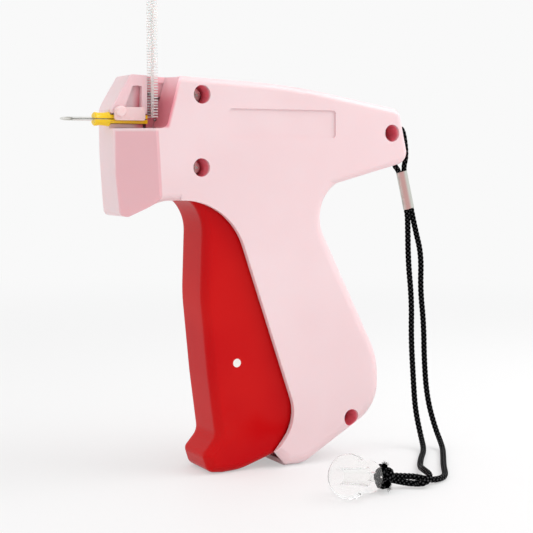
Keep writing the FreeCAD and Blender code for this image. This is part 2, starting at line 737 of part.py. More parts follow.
def link_pin():
    x, z = LINK_PIN
    return rod_y(x, z, LINK_PIN_R, -TRIGGER_HALF, TRIGGER_HALF)


def polar(length, degrees):
    """Point at a distance from the lever's pivot, leaning back from straight up."""
    angle = math.radians(degrees)
    return LEVER_PIVOT[0] + length * math.sin(angle), LEVER_PIVOT[1] + length * math.cos(angle)


def drive_lever():
    """First-class lever from the link pin in the trigger to the slider."""
    half = LEVER_HALF
    lower = math.degrees(math.atan2(LINK_PIN[0] - LEVER_PIVOT[0], LINK_PIN[1] - LEVER_PIVOT[1]))
    x, z = LEVER_PIVOT
    boss = rod_y(x, z, LEVER_BOSS_R, -half, half)

    def bar(points):
        corners = [V(px, -half, pz) for px, pz in points]
        return Part.Face(Part.makePolygon(corners + corners[:1])).extrude(V(0, 2 * half, 0))

    def across(length, width, degrees):
        px, pz = polar(length, degrees)
        side = math.radians(degrees + 90)
        dx, dz = width * math.sin(side), width * math.cos(side)
        return (px + dx, pz + dz), (px - dx, pz - dz)

    a, b = across(0, LEVER_BOSS_R, LEVER_REST)
    c, d = across(LEVER_SHOULDER[0], LEVER_SHOULDER[1], LEVER_REST)
    e, f = across(LEVER_ARM - LEVER_NECK_LENGTH, LEVER_NECK, LEVER_REST)
    g, h = across(LEVER_ARM, LEVER_NECK, LEVER_REST)
    upper = bar([a, c, e, g, h, f, d, b])
    tip_x, tip_z = polar(LEVER_ARM, LEVER_REST)
    tip = rod_y(tip_x, tip_z, LEVER_TIP_R, -half, half)
    slot_r = LINK_PIN_R + LINK_CLEAR
    end_r = slot_r + LEVER_EYE_WALL
    k, m = across(0, LEVER_BOSS_R, lower)
    p, q = across(LINK_SLOT[1], end_r, lower)
    arm = bar([k, p, q, m])
    end_x, end_z = polar(LINK_SLOT[1], lower)
    end = rod_y(end_x, end_z, end_r, -half, half)
    slot = []
    for length in LINK_SLOT:
        sx, sz = polar(length, lower)
        slot.append(rod_y(sx, sz, slot_r, -half - 1, half + 1))
    s1, s2 = across(LINK_SLOT[0], slot_r, lower)
    s3, s4 = across(LINK_SLOT[1], slot_r, lower)
    corners = [V(px, -half - 1, pz) for px, pz in (s1, s3, s4, s2)]
    slot.append(Part.Face(Part.makePolygon(corners + corners[:1])).extrude(V(0, 2 * half + 2, 0)))
    hole = rod_y(x, z, LEVER_PIN_R + RUN_CLEAR, -half - 1, half + 1)
    return boss.fuse([upper, tip, arm, end]).cut(slot + [hole]).removeSplitter()


def lever_pivot_pin():
    x, z = LEVER_PIVOT
    return rod_y(x, z, LEVER_PIN_R, -LEVER_RIB_Y[1], LEVER_RIB_Y[1])


def slider_lug_x():
    """Back end of the slider's spring lug."""
    return polar(LEVER_ARM, LEVER_REST)[0] + SLIDER_BACK + LUG_LENGTH


def slider():
    """Carriage that the lever drives along the rails."""
    centre = polar(LEVER_ARM, LEVER_REST)[0]
    x = (centre - SLIDER_FRONT, centre + SLIDER_BACK)
    body = box(x, (-SLIDER_HALF, SLIDER_HALF), SLIDER_Z)
    tongues = box((x[0] + 1, x[1] - 1), (-TONGUE_HALF, TONGUE_HALF), TONGUE_Z)
    lug_x = slider_lug_x()
    lug_y, lug_z = LUG_HALF
    lug = box((x[1] - 1, lug_x), (-lug_y, lug_y), (SPRING_Z - lug_z, SPRING_Z + lug_z))
    solid = body.fuse([tongues, lug])
    slot_x = (centre - SLIDER_SLOT, centre + SLIDER_SLOT)
    half = LEVER_HALF + 0.4
    slot = box(slot_x, (-half, half), (SLIDER_Z[0] - 1, SLIDER_SLOT_TOP))
    hole = rod_y(lug_x - LUG_WALL - LUG_HOLE_R, SPRING_Z, LUG_HOLE_R, -2, 2)
    rod = rod_x(0, NEEDLE_Z, ROD_R, x[0] - 1, centre - ROD_BACK)
    web_x = (x[0] + SLIDER_FRONT_WALL, slot_x[0] - SLIDER_WALL)
    cut_out = box(web_x, (-FAR, FAR), (SLIDER_Z[0] - 1, SLIDER_WEB_TOP))
    return solid.cut([slot, hole, rod, cut_out]).removeSplitter()


def ejector_rod():
    centre = polar(LEVER_ARM, LEVER_REST)[0]
    return rod_x(0, NEEDLE_Z, ROD_R, ROD_TIP_X, centre - ROD_BACK)


def wire_run(start, end, radius):
    """Straight piece of wire with round ends."""
    along = end - start
    bead = radius * 1.1
    run = Part.makeCylinder(radius, along.Length, start, along)
    return run.fuse([Part.makeSphere(bead, start), Part.makeSphere(bead, end)])


def return_spring():
    """Extension spring from the slider's lug to the post in the right half."""
    wire = SPRING_WIRE_R
    x0, x1 = SPRING_COIL_X
    helix = Part.makeHelix((x1 - x0) / SPRING_TURNS, x1 - x0, SPRING_R)
    circle = Part.Circle(V(SPRING_R, 0, 0), V(0, 1, 0.1), wire).toShape()
    coil = Part.Wire(helix.Edges).makePipeShell([Part.Wire(circle)], True, True)
    coil.rotate(V(0, 0, 0), V(0, 1, 0), 90)
    coil.translate(V(x0, 0, SPRING_Z))
    lug_ring_x = slider_lug_x() - LUG_WALL - LUG_HOLE_R + SPRING_EYE_R
    post_x, post_r = SPRING_POST
    front_ring = Part.makeTorus(SPRING_EYE_R, wire, V(lug_ring_x, 0, SPRING_Z), V(0, 0, 1))
    post_eye = post_r + SPRING_EYE_CLEAR + wire
    back_ring = Part.makeTorus(post_eye, wire, V(post_x, 0, SPRING_Z), V(0, 1, 0))
    front_end, back_end = V(x0, 0, SPRING_Z - SPRING_R), V(x1, 0, SPRING_Z - SPRING_R)
    front = wire_run(V(lug_ring_x + SPRING_EYE_R, 0, SPRING_Z), front_end, wire)
    back = wire_run(back_end, V(post_x - post_eye, 0, SPRING_Z), wire)
    return coil.fuse([front_ring, back_ring, front, back])


# ================================================================ needle and feed
def needle_taper():
    """Back of the needle, inside its base."""
    length = NEEDLE_BACK_X - NEEDLE_SEAT_X
    start = V(NEEDLE_SEAT_X, 0, NEEDLE_Z)
    return Part.makeCone(NEEDLE_R, NEEDLE_BACK_R, length, start, V(1, 0, 0))


def needle():
    """Slotted steel needle with a long slanted point."""
    tube = rod_x(0, NEEDLE_Z, NEEDLE_R, NEEDLE_TIP_X, NEEDLE_SEAT_X).fuse(needle_taper())
    bore = rod_x(0, NEEDLE_Z, NEEDLE_BORE_R, NEEDLE_TIP_X - 1, NEEDLE_BACK_X + 1)
    slot = box((NEEDLE_TIP_X - 1, NEEDLE_BACK_X + 1), (-2, 0),
               (NEEDLE_Z - NEEDLE_SLOT / 2, NEEDLE_Z + NEEDLE_SLOT / 2))
    slope = (POINT_Y + NEEDLE_R) / POINT_LENGTH
    corners = [
        V(NEEDLE_TIP_X - 1, POINT_Y + slope, NEEDLE_Z - 1),
        V(NEEDLE_TIP_X + (POINT_Y + 1) / slope, -1, NEEDLE_Z - 1),
        V(NEEDLE_TIP_X - 1, -1, NEEDLE_Z - 1),
    ]
    bevel = Part.Face(Part.makePolygon(corners + corners[:1])).extrude(V(0, 0, 2))
    return tube.cut([bore, slot, bevel])


def needle_base():
    """Moulded grip that carries the needle: waisted hub in front, flat shank behind."""
    front, back = HUB_FRONT_X, HUB_BACK_X
    middle = (front + back) / 2
    rim = HUB_R - HUB_EDGE
    start, end = V(front + HUB_EDGE, 0, HUB_R - 0.1), V(back - HUB_EDGE, 0, HUB_R)
    edges = [
        Part.LineSegment(V(front, 0, 0), V(front, 0, rim)).toShape(),
        Part.LineSegment(V(front, 0, rim), start).toShape(),
        Part.Arc(start, V(middle, 0, HUB_R - HUB_WAIST), end).toShape(),
        Part.LineSegment(end, V(back, 0, HUB_R)).toShape(),
        Part.LineSegment(V(back, 0, HUB_R), V(back, 0, 0)).toShape(),
        Part.LineSegment(V(back, 0, 0), V(front, 0, 0)).toShape(),
    ]
    hub = Part.Face(Part.Wire(edges)).revolve(V(0, 0, 0), V(1, 0, 0), 360)
    hub.translate(V(0, 0, NEEDLE_Z))
    shank = box((back - 0.5, NEEDLE_BACK_X - 0.1), SHANK_Y,
                (NEEDLE_Z - SHANK_HALF, NEEDLE_Z + SHANK_HALF))
    slot = box((front - 1, NEEDLE_BACK_X + 1), (-5, 0),
               (NEEDLE_Z - NEEDLE_SLOT / 2, NEEDLE_Z + NEEDLE_SLOT / 2))
    return hub.fuse(shank).cut([needle_taper(), slot]).removeSplitter()


def needle_lock():
    """Turning latch that holds the needle's shank in its cradle."""
    x, z = LOCK_PIVOT
    front, back = x - LOCK_KNOB_R, PLATE_BACK_X - LOCK_BACK
    top, bottom = z + LOCK_RISE, NEEDLE_Z - LOCK_DROP
    outline = [
        (x, top, 0.5),
        (back, top, 0.7),
        (back, bottom, 0.7),
        (front, bottom, 0.8),
        (front, z, 0.8),
    ]
    bar = prism(outline, LOCK_Y[0], LOCK_Y[1])
    knob = rod_y(x, z, LOCK_KNOB_R, LOCK_KNOB_Y, LOCK_Y[1])
    rim = [e for e in knob.Edges if abs(e.BoundBox.YMax - LOCK_KNOB_Y) < 1e-6]
    knob = knob.makeFillet(0.4, rim)
    pin = rod_y(x, z, LOCK_PIN_R, LOCK_Y[1], -0.3)
    return bar.fuse([knob, pin]).removeSplitter()


def toothed_disc(radii, count, x0, x1, tip_width, root_width):
    """Disc with straight-sided teeth and a gap facing -Y."""
    root, tip = radii
    corners = []
    for i in range(count):
        middle = math.pi + 2 * math.pi * (i + 0.5) / count
        for radius, width, side in ((root, root_width, -1), (tip, tip_width, -1),
                                    (tip, tip_width, 1), (root, root_width, 1)):
            angle = middle + side * math.asin(width / 2 / radius)
            corners.append(V(x0, radius * math.cos(angle), radius * math.sin(angle)))
    face = Part.Face(Part.makePolygon(corners + corners[:1]))
    return face.extrude(V(x1 - x0, 0, 0))


def feed_gear():
    """Toothed wheel that the fasteners run over, with the ratchet wheel on its sleeve."""
    wheel = toothed_disc((GEAR_ROOT_R, GEAR_TIP_R), GEAR_TEETH, GEAR_X[0], GEAR_X[1], 0.2, 0.4)
    corners = []
    for i in range(GEAR_TEETH):
        angle = math.pi + 2 * math.pi * i / GEAR_TEETH
        high = angle + 0.2 * math.pi / GEAR_TEETH
        corners.append(V(RATCHET_X[0], RATCHET_R * math.cos(angle), RATCHET_R * math.sin(angle)))
        corners.append(V(RATCHET_X[0], (RATCHET_R - RATCHET_DEPTH) * math.cos(high),
                         (RATCHET_R - RATCHET_DEPTH) * math.sin(high)))
    ratchet = Part.Face(Part.makePolygon(corners + corners[:1]))
    ratchet = ratchet.extrude(V(RATCHET_X[1] - RATCHET_X[0], 0, 0))
    sleeve = rod_x(0, 0, SLEEVE_R, GEAR_X[0] - 1.2, RATCHET_X[1] + 1.8)
    solid = wheel.fuse([ratchet, sleeve])
    solid = solid.cut(rod_x(0, 0, AXLE_R + RUN_CLEAR, -FAR, FAR)).removeSplitter()
    solid.translate(V(0, GEAR_PITCH_R, GEAR_Z))
    return solid


def feed_gear_axle():
    return rod_x(GEAR_PITCH_R, GEAR_Z, AXLE_R, AXLE_X[0], AXLE_X[1])


def feed_pawl():
    """Pawl over the ratchet wheel, on its own short axle."""
    y, z = PAWL_PIVOT
    to_gear = V(0, GEAR_PITCH_R - y, GEAR_Z - z)
    reach = to_gear.Length - RATCHET_R - PAWL_TIP_SPACE
    to_gear.normalize()
    across = V(0, -to_gear.z, to_gear.y)
    centre = V(PAWL_X[0], y, z)
    tip = centre + to_gear * reach
    corners = [
        tip + across * 0.2,
        centre + across * 1.2,
        centre - across * 1.2,
        tip - across * 0.2,
    ]
    arm = Part.Face(Part.makePolygon(corners + corners[:1])).extrude(V(PAWL_X[1] - PAWL_X[0], 0, 0))
    hub = rod_x(y, z, PAWL_HUB_R, PAWL_X[0], PAWL_X[1])
    axle = rod_x(y, z, PAWL_PIN_R, PAWL_AXLE_X[0], PAWL_AXLE_X[1])
    return arm.fuse([hub, axle]).removeSplitter()


def pawl_spring():
    """Small torsion spring round the pawl's axle, one leg against the housing wall."""
    y, z = PAWL_PIVOT
    wire = PAWL_SPRING_WIRE_R
    coil_r = PAWL_PIN_R + PAWL_SPRING_CLEAR + wire
    length = PAWL_SPRING_TURNS * wire * 2.4
    helix = Part.makeHelix(length / PAWL_SPRING_TURNS, length, coil_r)
    circle = Part.Circle(V(coil_r, 0, 0), V(0, 1, 0.1), wire).toShape()
    coil = Part.Wire(helix.Edges).makePipeShell([Part.Wire(circle)], True, True)
    coil.rotate(V(0, 0, 0), V(0, 1, 0), -90)
    coil.translate(V(PAWL_SPRING_X, y, z))
    start = V(PAWL_SPRING_X, y, z + coil_r)
    end = V(PAWL_SPRING_X - length, y, z + coil_r)
    wall_leg = wire_run(start, V(PAWL_SPRING_X, HALF_WIDTH - WALL - wire, z + coil_r), wire)
    pawl_leg = wire_run(end, end + V(0, -1.9, -0.5), wire)
    return coil.fuse([wall_leg, pawl_leg])


def fastener_clip():
    """Strip of H-shaped plastic fasteners joined by a thin spine."""
    lowest = NEEDLE_Z + PITCH
    top = lowest + (FASTENERS - 1) * PITCH
    spine = box((CLIP_X - SPINE / 2, CLIP_X + SPINE / 2),
                (SPINE_Y - SPINE / 2, SPINE_Y + SPINE / 2), (lowest - BAR / 2, top + BAR / 2))
    pieces = []
    for i in range(FASTENERS):
        z = lowest + i * PITCH
        half = BAR / 2
        inner_x = (CLIP_X - BAR_LENGTH / 2, CLIP_X + BAR_LENGTH / 2)
        outer_x = (CLIP_X - 0.5, CLIP_X + 0.9)
        pieces.append(box(inner_x, (-half, half), (z - half, z + half)))
        pieces.append(box((CLIP_X - 0.2, CLIP_X + 0.2), (-FILAMENT, -half / 2), (z - 0.16, z + 0.16)))
        pieces.append(box(outer_x, (-FILAMENT - half, -FILAMENT + half), (z - half, z + half)))
    return spine.fuse(pieces).removeSplitter()


# ================================================================ strap and cap
def ferrule_frame():
    """Direction down the ferrule, and across both cords."""
    down = (FERRULE_END - FERRULE_TOP).normalize()
    return down, V(-down.z, 0, down.x)


def stadium(centre, along, across, half_long, half_short, length):
    """Bar with a two-cord cross-section."""
    flat = half_long - half_short
    offset = across * flat
    side = V(0, half_short, 0)
    a, b = centre + offset + side, centre - offset + side
    c, d = centre - offset - side, centre + offset - side
    edges = [
        Part.LineSegment(a, b).toShape(),
        Part.Arc(b, centre - across * half_long, c).toShape(),
        Part.LineSegment(c, d).toShape(),
        Part.Arc(d, centre + across * half_long, a).toShape(),
    ]
    return Part.Face(Part.Wire(edges)).extrude(along * length)


def strap_ferrule():
    """Metal crimp that joins the strap's two cords to the loop."""
    down, across = ferrule_frame()
    length = (FERRULE_END - FERRULE_TOP).Length
    outer = stadium(FERRULE_TOP, down, across, FERRULE_HALF[0], FERRULE_HALF[1], length)
    inner = stadium(FERRULE_TOP - down, down, across, FERRULE_BORE[0], FERRULE_BORE[1], length + 2)
    return outer.cut(inner)


def strap_loop_points():
    down, across = ferrule_frame()
    shift = across * (CORD_R + 0.02)
    start = FERRULE_TOP + down * CORD_GRIP + shift
    end = FERRULE_TOP + down * CORD_GRIP - shift
    middle = [V(x, STRAP_Y, z) for x, z in LOOP]
    first = FERRULE_TOP + shift - down * 0.8
    last = FERRULE_TOP - shift - down * 0.6
    return [start, first] + middle + [last, end]


def strap_loop():
    """Short cord through the housing's rear corner; its radii are tight round the edges."""
    return round_cord(strap_loop_points(), CORD_R, [3.0] + LOOP_RADII + [2.0])


def strap_tunnel():
    """Straight hole for the loop, from the rear face down through the barrel's floor."""
    upper, lower = [V(x, STRAP_Y, z) for x, z in LOOP[2:4]]
    along = (upper - lower).normalize()
    start = lower - along * 4
    length = (upper - lower).Length + 7
    return Part.makeCylinder(TUNNEL_R, length, start, along)


def strap_cord(offset, route):
    """One strand, from inside the ferrule to the knot."""
    down, across = ferrule_frame()
    start = FERRULE_END - down * CORD_GRIP + across * offset
    leave = FERRULE_END + down * 1.5 + across * offset
    end = KNOT_CENTRE + CAP_AXIS * (KNOT_HALF - 0.3)
    end = end + V(0, 1.3 if offset < 0 else -1.3, -1.0)
    points = [start, leave] + [V(*p) for p in route] + [end]
    return round_cord(points, CORD_R)


def along_axis(shape, centre, axis):
    """Place a shape built round +X at a centre, pointing along an axis."""
    turn = FreeCAD.Rotation(V(1, 0, 0), axis)
    placed = shape.copy()
    placed.Placement = FreeCAD.Placement(centre, turn)
    return placed


def strap_knot():
    """Knot where the strap's two ends are tied together."""
    solid = rod_x(0, 0, KNOT_R, -KNOT_HALF, KNOT_HALF)
    rims = [e for e in solid.Edges if e.Curve.TypeId == "Part::GeomCircle"]
    return along_axis(solid.makeFillet(1.9, rims), KNOT_CENTRE, CAP_AXIS)


def needle_cap():
    """Clear cap that covers the needle when the tool is put away."""
    spline = Part.BSplineCurve()
    spline.interpolate([V(s, 0, r) for s, r in CAP_PROFILE])
    first, last = CAP_PROFILE[0], CAP_PROFILE[-1]
    edges = [
        Part.LineSegment(V(first[0], 0, 0), V(first[0], 0, first[1])).toShape(),
        spline.toShape(),
        Part.LineSegment(V(last[0], 0, last[1]), V(last[0], 0, 0)).toShape(),
        Part.LineSegment(V(last[0], 0, 0), V(first[0], 0, 0)).toShape(),
    ]
    solid = Part.Face(Part.Wire(edges)).revolve(V(0, 0, 0), V(1, 0, 0), 360)
    bore = rod_x(0, 0, CAP_BORE_R, first[0] - 1, first[0] + CAP_BORE_LENGTH)
    cord = rod_x(0, 0, CAP_CORD_R, 0, last[0] + 1)
    return along_axis(solid.cut([bore, cord]), CAP_CENTRE, CAP_AXIS)


# ================================================================ output
def build():
    body = housing_body()
    hollow = housing_hollow()
    parts = {
        "left_housing": left_housing(body, hollow),
        "right_housing": right_housing(body, hollow),
        "nose_plate": nose_plate(body),
        "trigger": trigger(),
        "link_pin": link_pin(),
        "drive_lever": drive_lever(),
        "lever_pivot_pin": lever_pivot_pin(),
        "slider": slider(),
        "ejector_rod": ejector_rod(),
        "return_spring": return_spring(),
        "needle": needle(),
        "needle_base": needle_base(),
        "needle_lock": needle_lock(),
        "feed_gear": feed_gear(),
        "feed_gear_axle": feed_gear_axle(),
        "feed_pawl": feed_pawl(),
        "pawl_spring": pawl_spring(),
        "fastener_clip": fastener_clip(),
        "strap_loop": strap_loop(),
        "strap_ferrule": strap_ferrule(),
        "strap_cord_left": strap_cord(-CORD_R - 0.02, CORD_A),
        "strap_cord_right": strap_cord(CORD_R + 0.02, CORD_B),
        "strap_knot": strap_knot(),
        "needle_cap": needle_cap(),
    }
    for name in SCREWS:
        parts["screw_" + name] = housing_screw(name)
    return parts


def main():
    os.makedirs("parts", exist_ok=True)
    for name, shape in build().items():
        if len(shape.Solids) == 1:
            shape = shape.Solids[0]
        print(name, "solids", len(shape.Solids), "valid", shape.isValid(),
              "volume", round(shape.Volume, 2))
        shape.exportStep("parts/" + name + ".step")


main()
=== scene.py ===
import bpy
import json
import math
import numpy as np
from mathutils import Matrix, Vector

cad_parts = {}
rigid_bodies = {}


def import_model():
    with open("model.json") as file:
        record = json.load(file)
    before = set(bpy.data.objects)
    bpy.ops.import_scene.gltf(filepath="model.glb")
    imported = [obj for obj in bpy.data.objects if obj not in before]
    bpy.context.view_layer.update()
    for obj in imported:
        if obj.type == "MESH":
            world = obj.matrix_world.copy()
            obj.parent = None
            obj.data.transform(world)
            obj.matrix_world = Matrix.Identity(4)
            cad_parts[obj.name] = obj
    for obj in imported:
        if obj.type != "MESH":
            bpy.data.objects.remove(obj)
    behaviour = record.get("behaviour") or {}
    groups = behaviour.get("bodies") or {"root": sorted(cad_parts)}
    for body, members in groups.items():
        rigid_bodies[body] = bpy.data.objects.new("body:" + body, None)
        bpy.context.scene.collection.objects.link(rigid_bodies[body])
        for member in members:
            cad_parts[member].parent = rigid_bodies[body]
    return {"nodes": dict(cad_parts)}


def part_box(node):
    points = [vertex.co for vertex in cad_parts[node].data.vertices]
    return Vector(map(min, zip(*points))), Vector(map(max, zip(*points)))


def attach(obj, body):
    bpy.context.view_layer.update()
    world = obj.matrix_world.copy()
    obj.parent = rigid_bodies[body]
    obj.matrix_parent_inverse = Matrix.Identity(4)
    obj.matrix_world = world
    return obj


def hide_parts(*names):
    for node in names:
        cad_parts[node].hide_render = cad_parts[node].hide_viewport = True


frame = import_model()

for spare in [o for o in bpy.context.scene.objects if o.name in ("Cube", "Light", "Camera")]:
    bpy.data.objects.remove(spare)
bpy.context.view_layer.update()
bpy.context.scene.view_settings.view_transform = "Standard"
nodes = frame["nodes"]
mm = 0.001


# camera
camera = {
    "place": (-0.2004, -0.3910, 0.1085),   # metres
    "yaw": 28.5,                           # degrees to the right of looking along +Y
    "down": 4.87,                          # degrees below level
    "lens": 84.4,                          # mm
    "sensor": 36.0,                        # mm
    "clip": (0.01, 20.0),                  # metres
}


def makeCamera():
    data = bpy.data.cameras.new("camera")
    data.lens = camera["lens"]
    data.sensor_width = camera["sensor"]
    data.clip_start, data.clip_end = camera["clip"]
    holder = bpy.data.objects.new("camera", data)
    holder.location = camera["place"]
    holder.rotation_euler = (math.radians(90.0 - camera["down"]), 0.0, math.radians(-camera["yaw"]))
    bpy.context.scene.collection.objects.link(holder)
    bpy.context.scene.camera = holder


# meshes
def addPiece(name, points, faces, body):
    # a smooth mesh from arrays of points and faces, riding on a body
    mesh = bpy.data.meshes.new(name)
    mesh.from_pydata(np.asarray(points, float), [], faces)
    mesh.polygons.foreach_set("use_smooth", np.full(len(mesh.polygons), True))
    mesh.update()
    piece = bpy.data.objects.new(name, mesh)
    bpy.context.scene.collection.objects.link(piece)
    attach(piece, body)
    return piece


def gridFaces(rows, columns):
    # quads between neighbouring rings of a tube, the last column joined to the first
    row = np.arange(rows - 1)[:, None] * columns
    column = np.arange(columns)[None, :]
    following = (column + 1) % columns
    quads = [row + column, row + following, row + columns + following, row + columns + column]
    return np.stack(quads, -1).reshape(-1, 4)


def tubeFaces(rows, columns):
    # the tube's quads and one face over each end
    ring = np.arange(columns)
    return gridFaces(rows, columns).tolist() + [ring[::-1].tolist(), ((rows - 1) * columns + ring).tolist()]


def setUv(piece, across, along):
    # one UV pair for each point, spread to the corners that use it
    mesh = piece.data
    corner = np.empty(len(mesh.loops), np.int32)
    mesh.loops.foreach_get("vertex_index", corner)
    layer = mesh.uv_layers.new(name="lay")
    pairs = np.stack([np.ravel(across)[corner], np.ravel(along)[corner]], -1)
    layer.data.foreach_set("uv", pairs.astype(np.float32).ravel())


def unit(vectors):
    # each vector divided by its own length
    return vectors / np.linalg.norm(vectors, axis=-1, keepdims=True)


def axisFrame(axis):
    # the axis as a unit vector, a level one square to it, and the one square to both
    ahead = np.array(axis) / np.linalg.norm(axis)
    right = np.cross(ahead, (0, 0, 1))
    right /= np.linalg.norm(right)
    return right, np.cross(right, ahead), ahead


def screenToLinear(red, green, blue):
    # a colour as written on screen, from 0 to 255, as the linear values that the sockets take
    share = np.array([red, green, blue]) / 255.0
    value = np.where(share <= 0.04045, share / 12.92, ((share + 0.055) / 1.055) ** 2.4)
    return (*[float(v) for v in value], 1.0)


# strap
braid = {
    "ringStep": 0.17 * mm,       # distance between rings of the mesh
    "around": 48,                # points in a ring
    "strands": 4,                # strands that run each way round
    "pitch": 6.2 * mm,           # cord length in which a strand goes once round
    "relief": 0.30,              # groove depth as a share of the radius
    "crest": (0.72, 0.28),       # a strand's height where it dives under another, and how much it gains between
    "curveSteps": 24,            # points of a route's line between two of its control points
}
cordRadius = 1.1 * mm
strapY = -7.5
loopCord = {
    "name": "strapLoop",
    "stands": "strap_loop",
    "radius": 1.02 * mm,         # less than the other cords, because the ferrule squeezes it
    "length": 39.6 * mm,
    "farEnd": "object",
    "beside": (0, 1, 0),         # the rings' first points lie square to this
    "route": [                   # mm
        (66.27, strapY, 101.63), (65.35, strapY, 105.31), (66.8, strapY, 110.0), (65.6, strapY, 118.2),
        (64.0, strapY, 120.6), (62.2, strapY, 118.6), (60.9, strapY, 106.8), (63.51, strapY, 104.65),
        (64.39, strapY, 101.15),
    ],
}
leftCord = {
    "name": "strapCordLeft",
    "stands": "strap_cord_left",
    "radius": cordRadius,
    "length": 155.0 * mm,
    "farEnd": "knot",
    "beside": (0.78, -0.62, 0),
    "route": [
        (66.38, strapY, 93.27), (67.48, strapY, 88.91), (67.7, strapY, 84.0), (68.0, strapY, 71.0),
        (69.8, strapY, 56.0), (69.7, strapY, 42.0), (70.8, strapY, 27.0), (71.6, -7.9, 14.5),
        (73.0, -10.0, 4.0), (69.0, -17.5, 1.2), (60.0, -28.0, 1.2), (52.5, -38.0, 1.3),
        (48.0, -46.0, 2.8), (44.8, -51.0, 4.0), (43.2, -57.3, 3.8), (39.8, -59.3, 1.85),
        (36.3, -56.7, 1.6), (32.0, -54.2, 2.3), (26.8, -53.4, 4.0),
    ],
}
rightCord = {
    "name": "strapCordRight",
    "stands": "strap_cord_right",
    "radius": cordRadius,
    "length": 165.4 * mm,
    "farEnd": "knot",
    "beside": (0.78, -0.62, 0),
    "route": [
        (68.26, strapY, 93.75), (69.36, strapY, 89.38), (71.0, strapY, 83.0), (74.0, strapY, 73.0),
        (73.7, strapY, 60.0), (75.4, strapY, 47.0), (75.8, strapY, 33.0), (77.0, -7.8, 19.0),
        (79.5, -9.5, 7.5), (78.2, -16.5, 1.2), (70.0, -28.0, 1.2), (60.5, -41.0, 1.2),
        (53.2, -52.2, 1.2), (48.0, -55.0, 1.2), (43.5, -55.5, 1.8), (38.5, -55.3, 3.4),
        (33.5, -54.3, 3.9), (26.8, -53.9, 4.9),
    ],
}


def routeLine(name, route):
    # the smooth line of a route, read from a NURBS spline that has the route's points as its control points
    curve = bpy.data.curves.new(name, "CURVE")
    curve.dimensions = "3D"
    curve.resolution_u = braid["curveSteps"]
    spline = curve.splines.new("NURBS")
    spline.points.add(len(route) - 1)
    control = np.ones((len(route), 4))
    control[:, :3] = np.array(route) * mm
    spline.points.foreach_set("co", control.ravel())
    spline.order_u = 3
    spline.use_endpoint_u = True
    holder = bpy.data.objects.new(name, curve)
    mesh = bpy.data.meshes.new_from_object(holder)
    line = np.empty(len(mesh.vertices) * 3)
    mesh.vertices.foreach_get("co", line)
    bpy.data.objects.remove(holder)
    return line.reshape(-1, 3)


def evenLine(line, step):
    # the same line with points an even step apart, and the length up to each
    soFar = np.concatenate([[0.0], np.cumsum(np.linalg.norm(np.diff(line, axis=0), axis=1))])
    at = np.linspace(0.0, soFar[-1], int(soFar[-1] / step) + 1)
    return np.stack([np.interp(at, soFar, line[:, k]) for k in range(3)], -1), at


def braidHeight(turn, along):
    # a diamond braid of two directions: in each cell the upper strand bulges as a half circle across itself,
    # and a little along itself, and the two directions change places from cell to cell
    one = braid["strands"] * (turn + along / braid["pitch"])
    two = braid["strands"] * (turn - along / braid["pitch"])
    over = (np.floor(one) + np.floor(two)) % 2 < 1
    acrossOver = np.where(over, one % 1, two % 1)
    alongOver = np.where(over, two % 1, one % 1)
    bulge = np.sqrt(np.clip(1 - (2 * acrossOver - 1) ** 2, 0, 1))
    low, gain = braid["crest"]
    return bulge * (low + gain * np.cos(math.pi * (alongOver - 0.5)))


def braidRings(centre, along, direction, side, radius):
    # circles about the line's points, square to its direction, with a radius that drops in the braid's grooves
    upward = np.cross(side, direction)
    turn = np.arange(braid["around"]) / braid["around"]
    angle = 2 * math.pi * turn
    height = braidHeight(turn[None, :], along[:, None])
    reach = radius * (1 - braid["relief"] * (1 - height))
    ring = side[:, None, :] * np.cos(angle)[None, :, None] + upward[:, None, :] * np.sin(angle)[None, :, None]
    return centre[:, None, :] + ring * reach[:, :, None], turn, height


def braidPiece(name, points, faces, turn, along, height):
    # the braid's mesh, its UV lay for the fibres, and its height at each point for the colour
    piece = addPiece(name, points.reshape(-1, 3), faces, "housing")
    setUv(piece, *np.meshgrid(turn, along / braid["pitch"]))
    layer = piece.data.attributes.new("braid", "FLOAT", "POINT")
    layer.data.foreach_set("value", np.ravel(height).astype(np.float32))
    return piece


def braidedTube(name, line, beside, radius):
    # the braid's rings along an open line, with its ends closed
    centre, along = evenLine(line, braid["ringStep"])
    direction = unit(np.gradient(centre, axis=0))
    side = unit(np.cross(direction, np.array(beside, float)))
    points, turn, height = braidRings(centre, along, direction, side, radius)
    return braidPiece(name, points, tubeFaces(len(centre), braid["around"]), turn, along, height)


def makeCord(cord):
    line = routeLine(cord["name"] + "Route", cord["route"])
    piece = braidedTube(cord["name"], line, cord["beside"], cord["radius"])
    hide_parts(cord["stands"])
    return piece, line


# knot
knot = {
    "centre": (26.2 * mm, -53.75 * mm, 4.5 * mm),
    "axis": (0.959, 0.216, -0.181),
    "wrapRadius": 2.6 * mm,      # from the axis to the middle of the wrapped cord
    "wrapDepth": 1.15 * mm,      # how far the wraps weave in and out
    "weave": (0.55, 1.25),       # shares of that depth, away from the axis and along it
    "linePoints": 400,
    "ringStretch": 1.3,          # its rings stand this much further apart than a cord's
    "tailBack": 0.6,             # mm that the tails start behind the centre
    "tailLength": 2.6 * mm,
    "tailPoints": 14,
    "tails": (                   # mm to the side and up from the axis, and the way each points
        {"sideways": 0.6, "rise": 1.7, "heading": (-0.12, -0.45, 0.85)},
        {"sideways": 2.0, "rise": -0.6, "heading": (-0.30, -0.92, -0.25)},
    ),
}
fibres = {
    "seed": 20,
    "count": 150,
    "length": (1.1 * mm, 2.4 * mm),
    "radius": 0.045 * mm,
    "lean": (0.05, 0.75),        # radians away from the cord's heading
    "rootSpread": 0.75,          # share of the cord's radius that they start within
    "droop": -0.35,              # how far a hair's end sinks, as a share of its length
    "taper": 0.8,                # share of its thickness that a hair loses by its end
    "joints": 5,
    "sides": 3,
}


